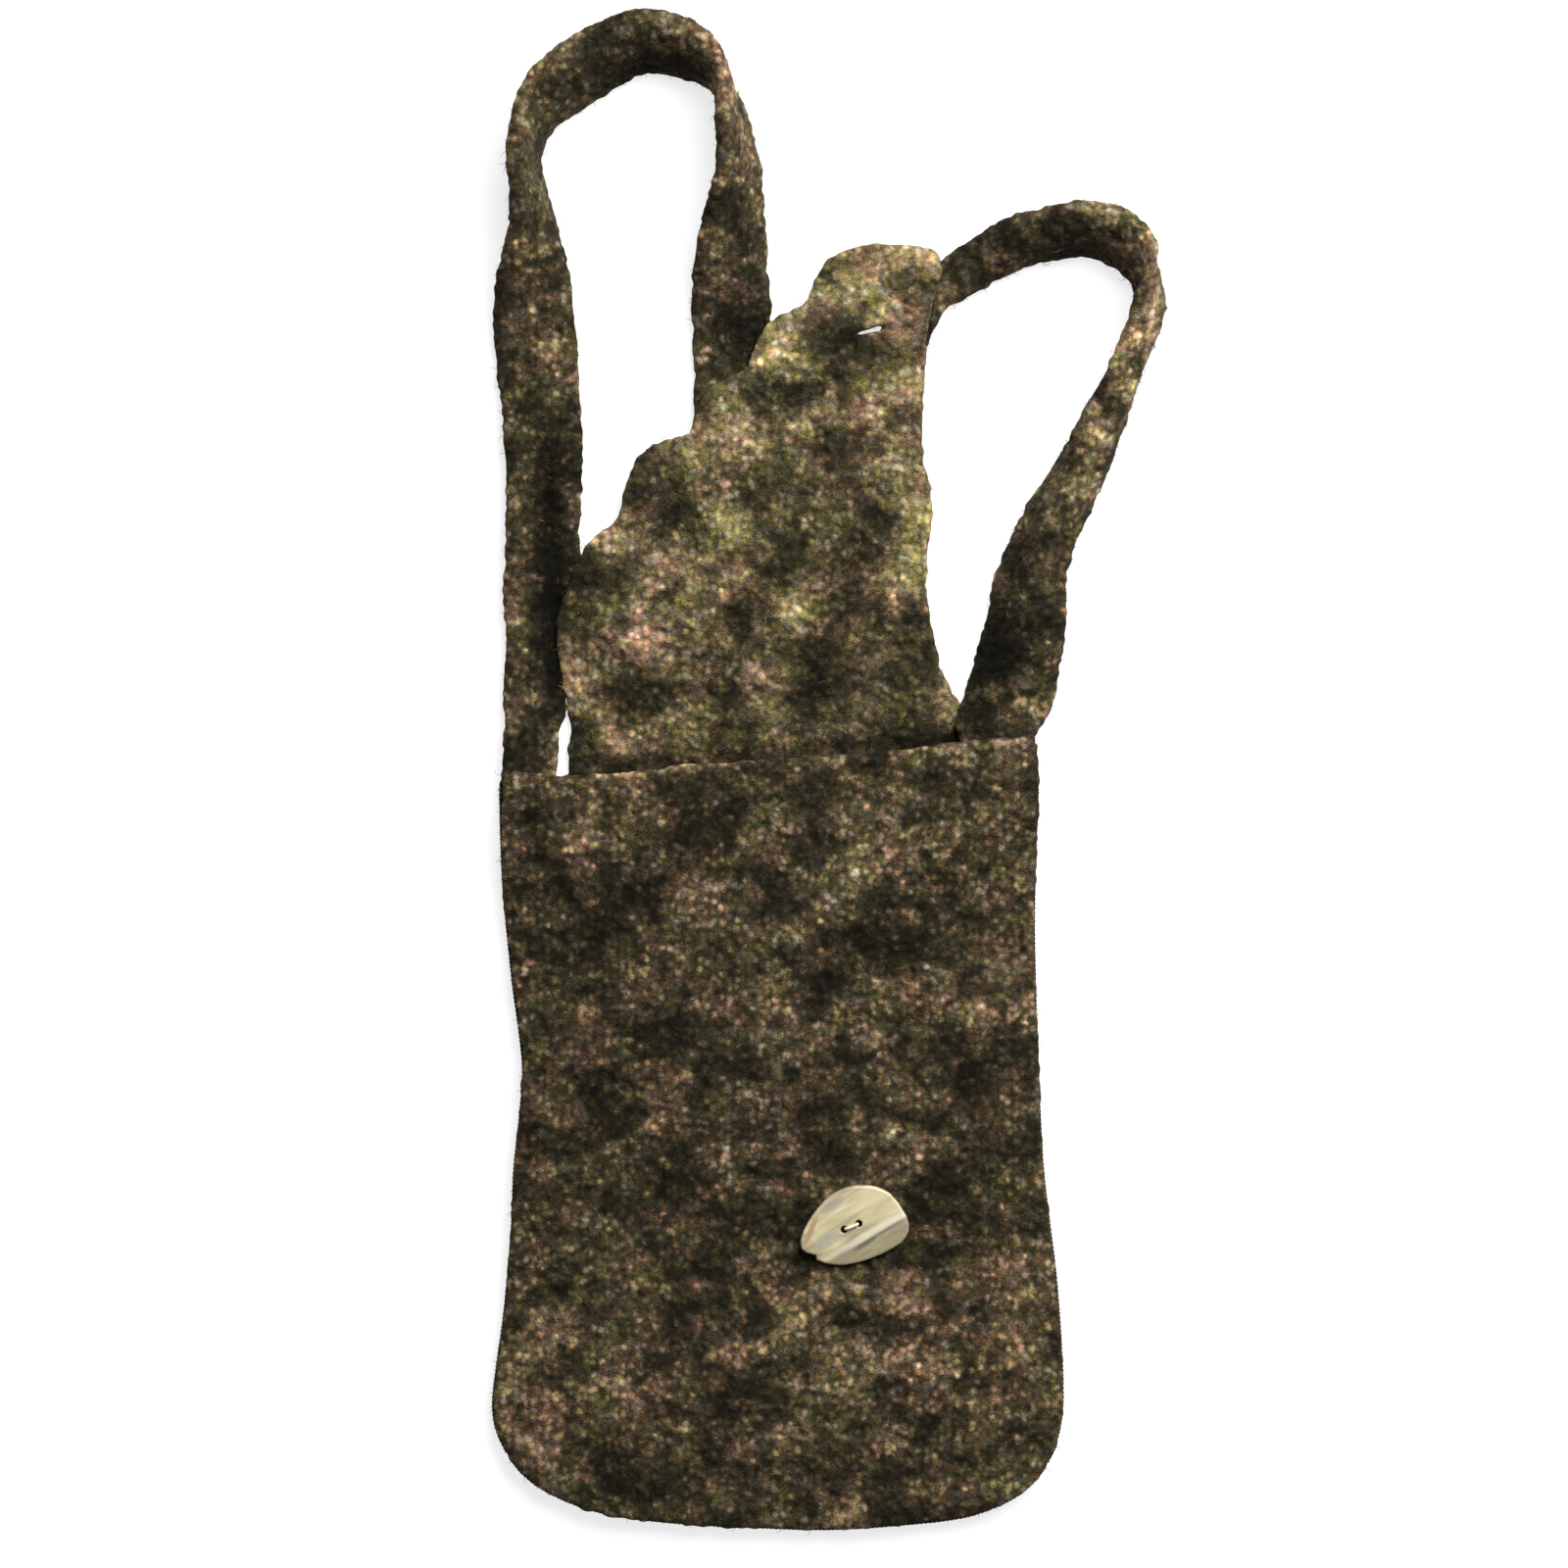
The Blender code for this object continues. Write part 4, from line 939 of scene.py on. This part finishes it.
def make_cord():
    """Three plies in a closed loop with round corners, where the solid cord runs."""
    solid = points_of(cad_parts["button_thread"].data)
    middle = solid.mean(0)
    axes = np.linalg.eigh(np.cov((solid - middle).T))[1]
    through, bar = Vector(axes[:, 2]), Vector(axes[:, 1])
    if through.z < 0:
        through.negate()
    shares = (solid - middle) @ np.array((bar, through)).T
    highest, lowest = shares.max(0), shares.min(0)
    reach = (highest - lowest) / 2 - CORD_SEAT - CORD_CURL
    centre = Vector(middle) + bar * float(highest[0] + lowest[0]) / 2
    centre += through * float(highest[1] + lowest[1]) / 2
    corners = []
    for quarter, (right, high) in enumerate(((1, 1), (-1, 1), (-1, -1), (1, -1))):
        for step in range(5):
            angle = math.tau * (quarter + step / 4) / 4
            corners.append(
                centre + bar * float(right * reach[0] + math.cos(angle) * CORD_CURL)
                + through * float(high * reach[1] + math.sin(angle) * CORD_CURL)
            )
    route = []
    for start, end in zip(corners, corners[1:] + corners[:1]):
        count = max(1, round((end - start).length / CORD_STEP))
        route += [start.lerp(end, number / count) for number in range(count)]
    cord = plied("button_cord", route, bar.cross(through), 3, CORD_RADIUS, CORD_TURN, closed=True)
    cord.data.materials.append(make_cord_finish())
    return cord


button = make_button()
cord = make_cord()

front_hairs = add_hairs("front_hairs", front, 2200, 11)
flap_hairs = add_hairs("flap_hairs", back, 2600, 12)
strap_hairs = add_hairs("strap_hairs", strap, 2400, 13)

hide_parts("front_panel")
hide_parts("back_panel", "flap")
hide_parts("strap", "left_strap_end", "right_strap_end")
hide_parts("horn_button")
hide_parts("button_thread")
for piece in (front, front_hairs, button, cord, *yarns):
    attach(piece, "pouch")
for piece in (back, flap_hairs):
    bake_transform(piece)
for piece in (strap, strap_hairs):
    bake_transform(piece)


# Stage
def make_floor():
    bm = bmesh.new()
    bmesh.ops.create_grid(bm, x_segments=1, y_segments=1, size=FLOOR_HALF)
    bmesh.ops.translate(bm, vec=(0.0, 0.0, FLOOR_Z), verts=bm.verts)
    mesh = bpy.data.meshes.new("floor")
    bm.to_mesh(mesh)
    bm.free()
    floor = add_piece("floor", mesh)
    finish = Finish("pale_floor", Roughness=1.0, Specular_IOR_Level=0.0)
    seen = finish.node("ShaderNodeLightPath", "Is Camera Ray")
    finish.feed(Base_Color=finish.mix(seen, FLOOR_GREY, FLOOR_SEEN_GREY))
    glow = finish.node("ShaderNodeEmission", 0, None, {"Strength": seen * FLOOR_GLOW})
    both = finish.node("ShaderNodeAddShader", 0, None, {
        0: Wire(finish, finish.shader.outputs[0]), 1: glow
    })
    finish.tree.links.new(both.socket, finish.tree.nodes["Material Output"].inputs["Surface"])
    mesh.materials.append(finish.material)


def make_world():
    world = bpy.data.worlds.new("studio")
    bpy.context.scene.world = world
    world.use_nodes = True
    nodes, links = world.node_tree.nodes, world.node_tree.links
    surround = nodes["Background"]
    surround.inputs["Color"].default_value = (1.0, 1.0, 1.0, 1.0)
    rays = nodes.new("ShaderNodeLightPath")
    seen = nodes.new("ShaderNodeMath")
    seen.operation = "MAXIMUM"
    links.new(rays.outputs["Is Camera Ray"], seen.inputs[0])
    links.new(rays.outputs["Is Glossy Ray"], seen.inputs[1])
    strength = nodes.new("ShaderNodeMapRange")
    strength.inputs["To Min"].default_value = ROOM_LIGHT
    strength.inputs["To Max"].default_value = 1.0
    links.new(seen.outputs[0], strength.inputs["Value"])
    links.new(strength.outputs["Result"], surround.inputs["Strength"])


def make_lamp(name, place, aim, size, power):
    lamp = bpy.data.lights.new(name, "AREA")
    lamp.shape = "DISK"
    lamp.size = size
    lamp.energy = power
    holder = bpy.data.objects.new(name, lamp)
    holder.location = place
    holder.rotation_euler = (Vector(aim) - Vector(place)).to_track_quat("-Z", "Y").to_euler()
    bpy.context.scene.collection.objects.link(holder)


def make_camera():
    """A camera that looks straight down from far above, as the photograph was taken."""
    camera = bpy.data.cameras.new("camera")
    camera.lens = LENS
    camera.sensor_width = SENSOR
    camera.clip_end = 100.0
    holder = bpy.data.objects.new("camera", camera)
    holder.location = (*VIEW_MIDDLE, VIEW_WIDTH * LENS / SENSOR)
    bpy.context.scene.collection.objects.link(holder)
    bpy.context.scene.camera = holder


make_floor()
make_world()
make_lamp("key", place=(0.8, 1.34, 1.68), aim=(0.0, 0.0, 0.0), size=2.0, power=118.0)
make_camera()
bpy.context.scene.view_settings.view_transform = "Standard"
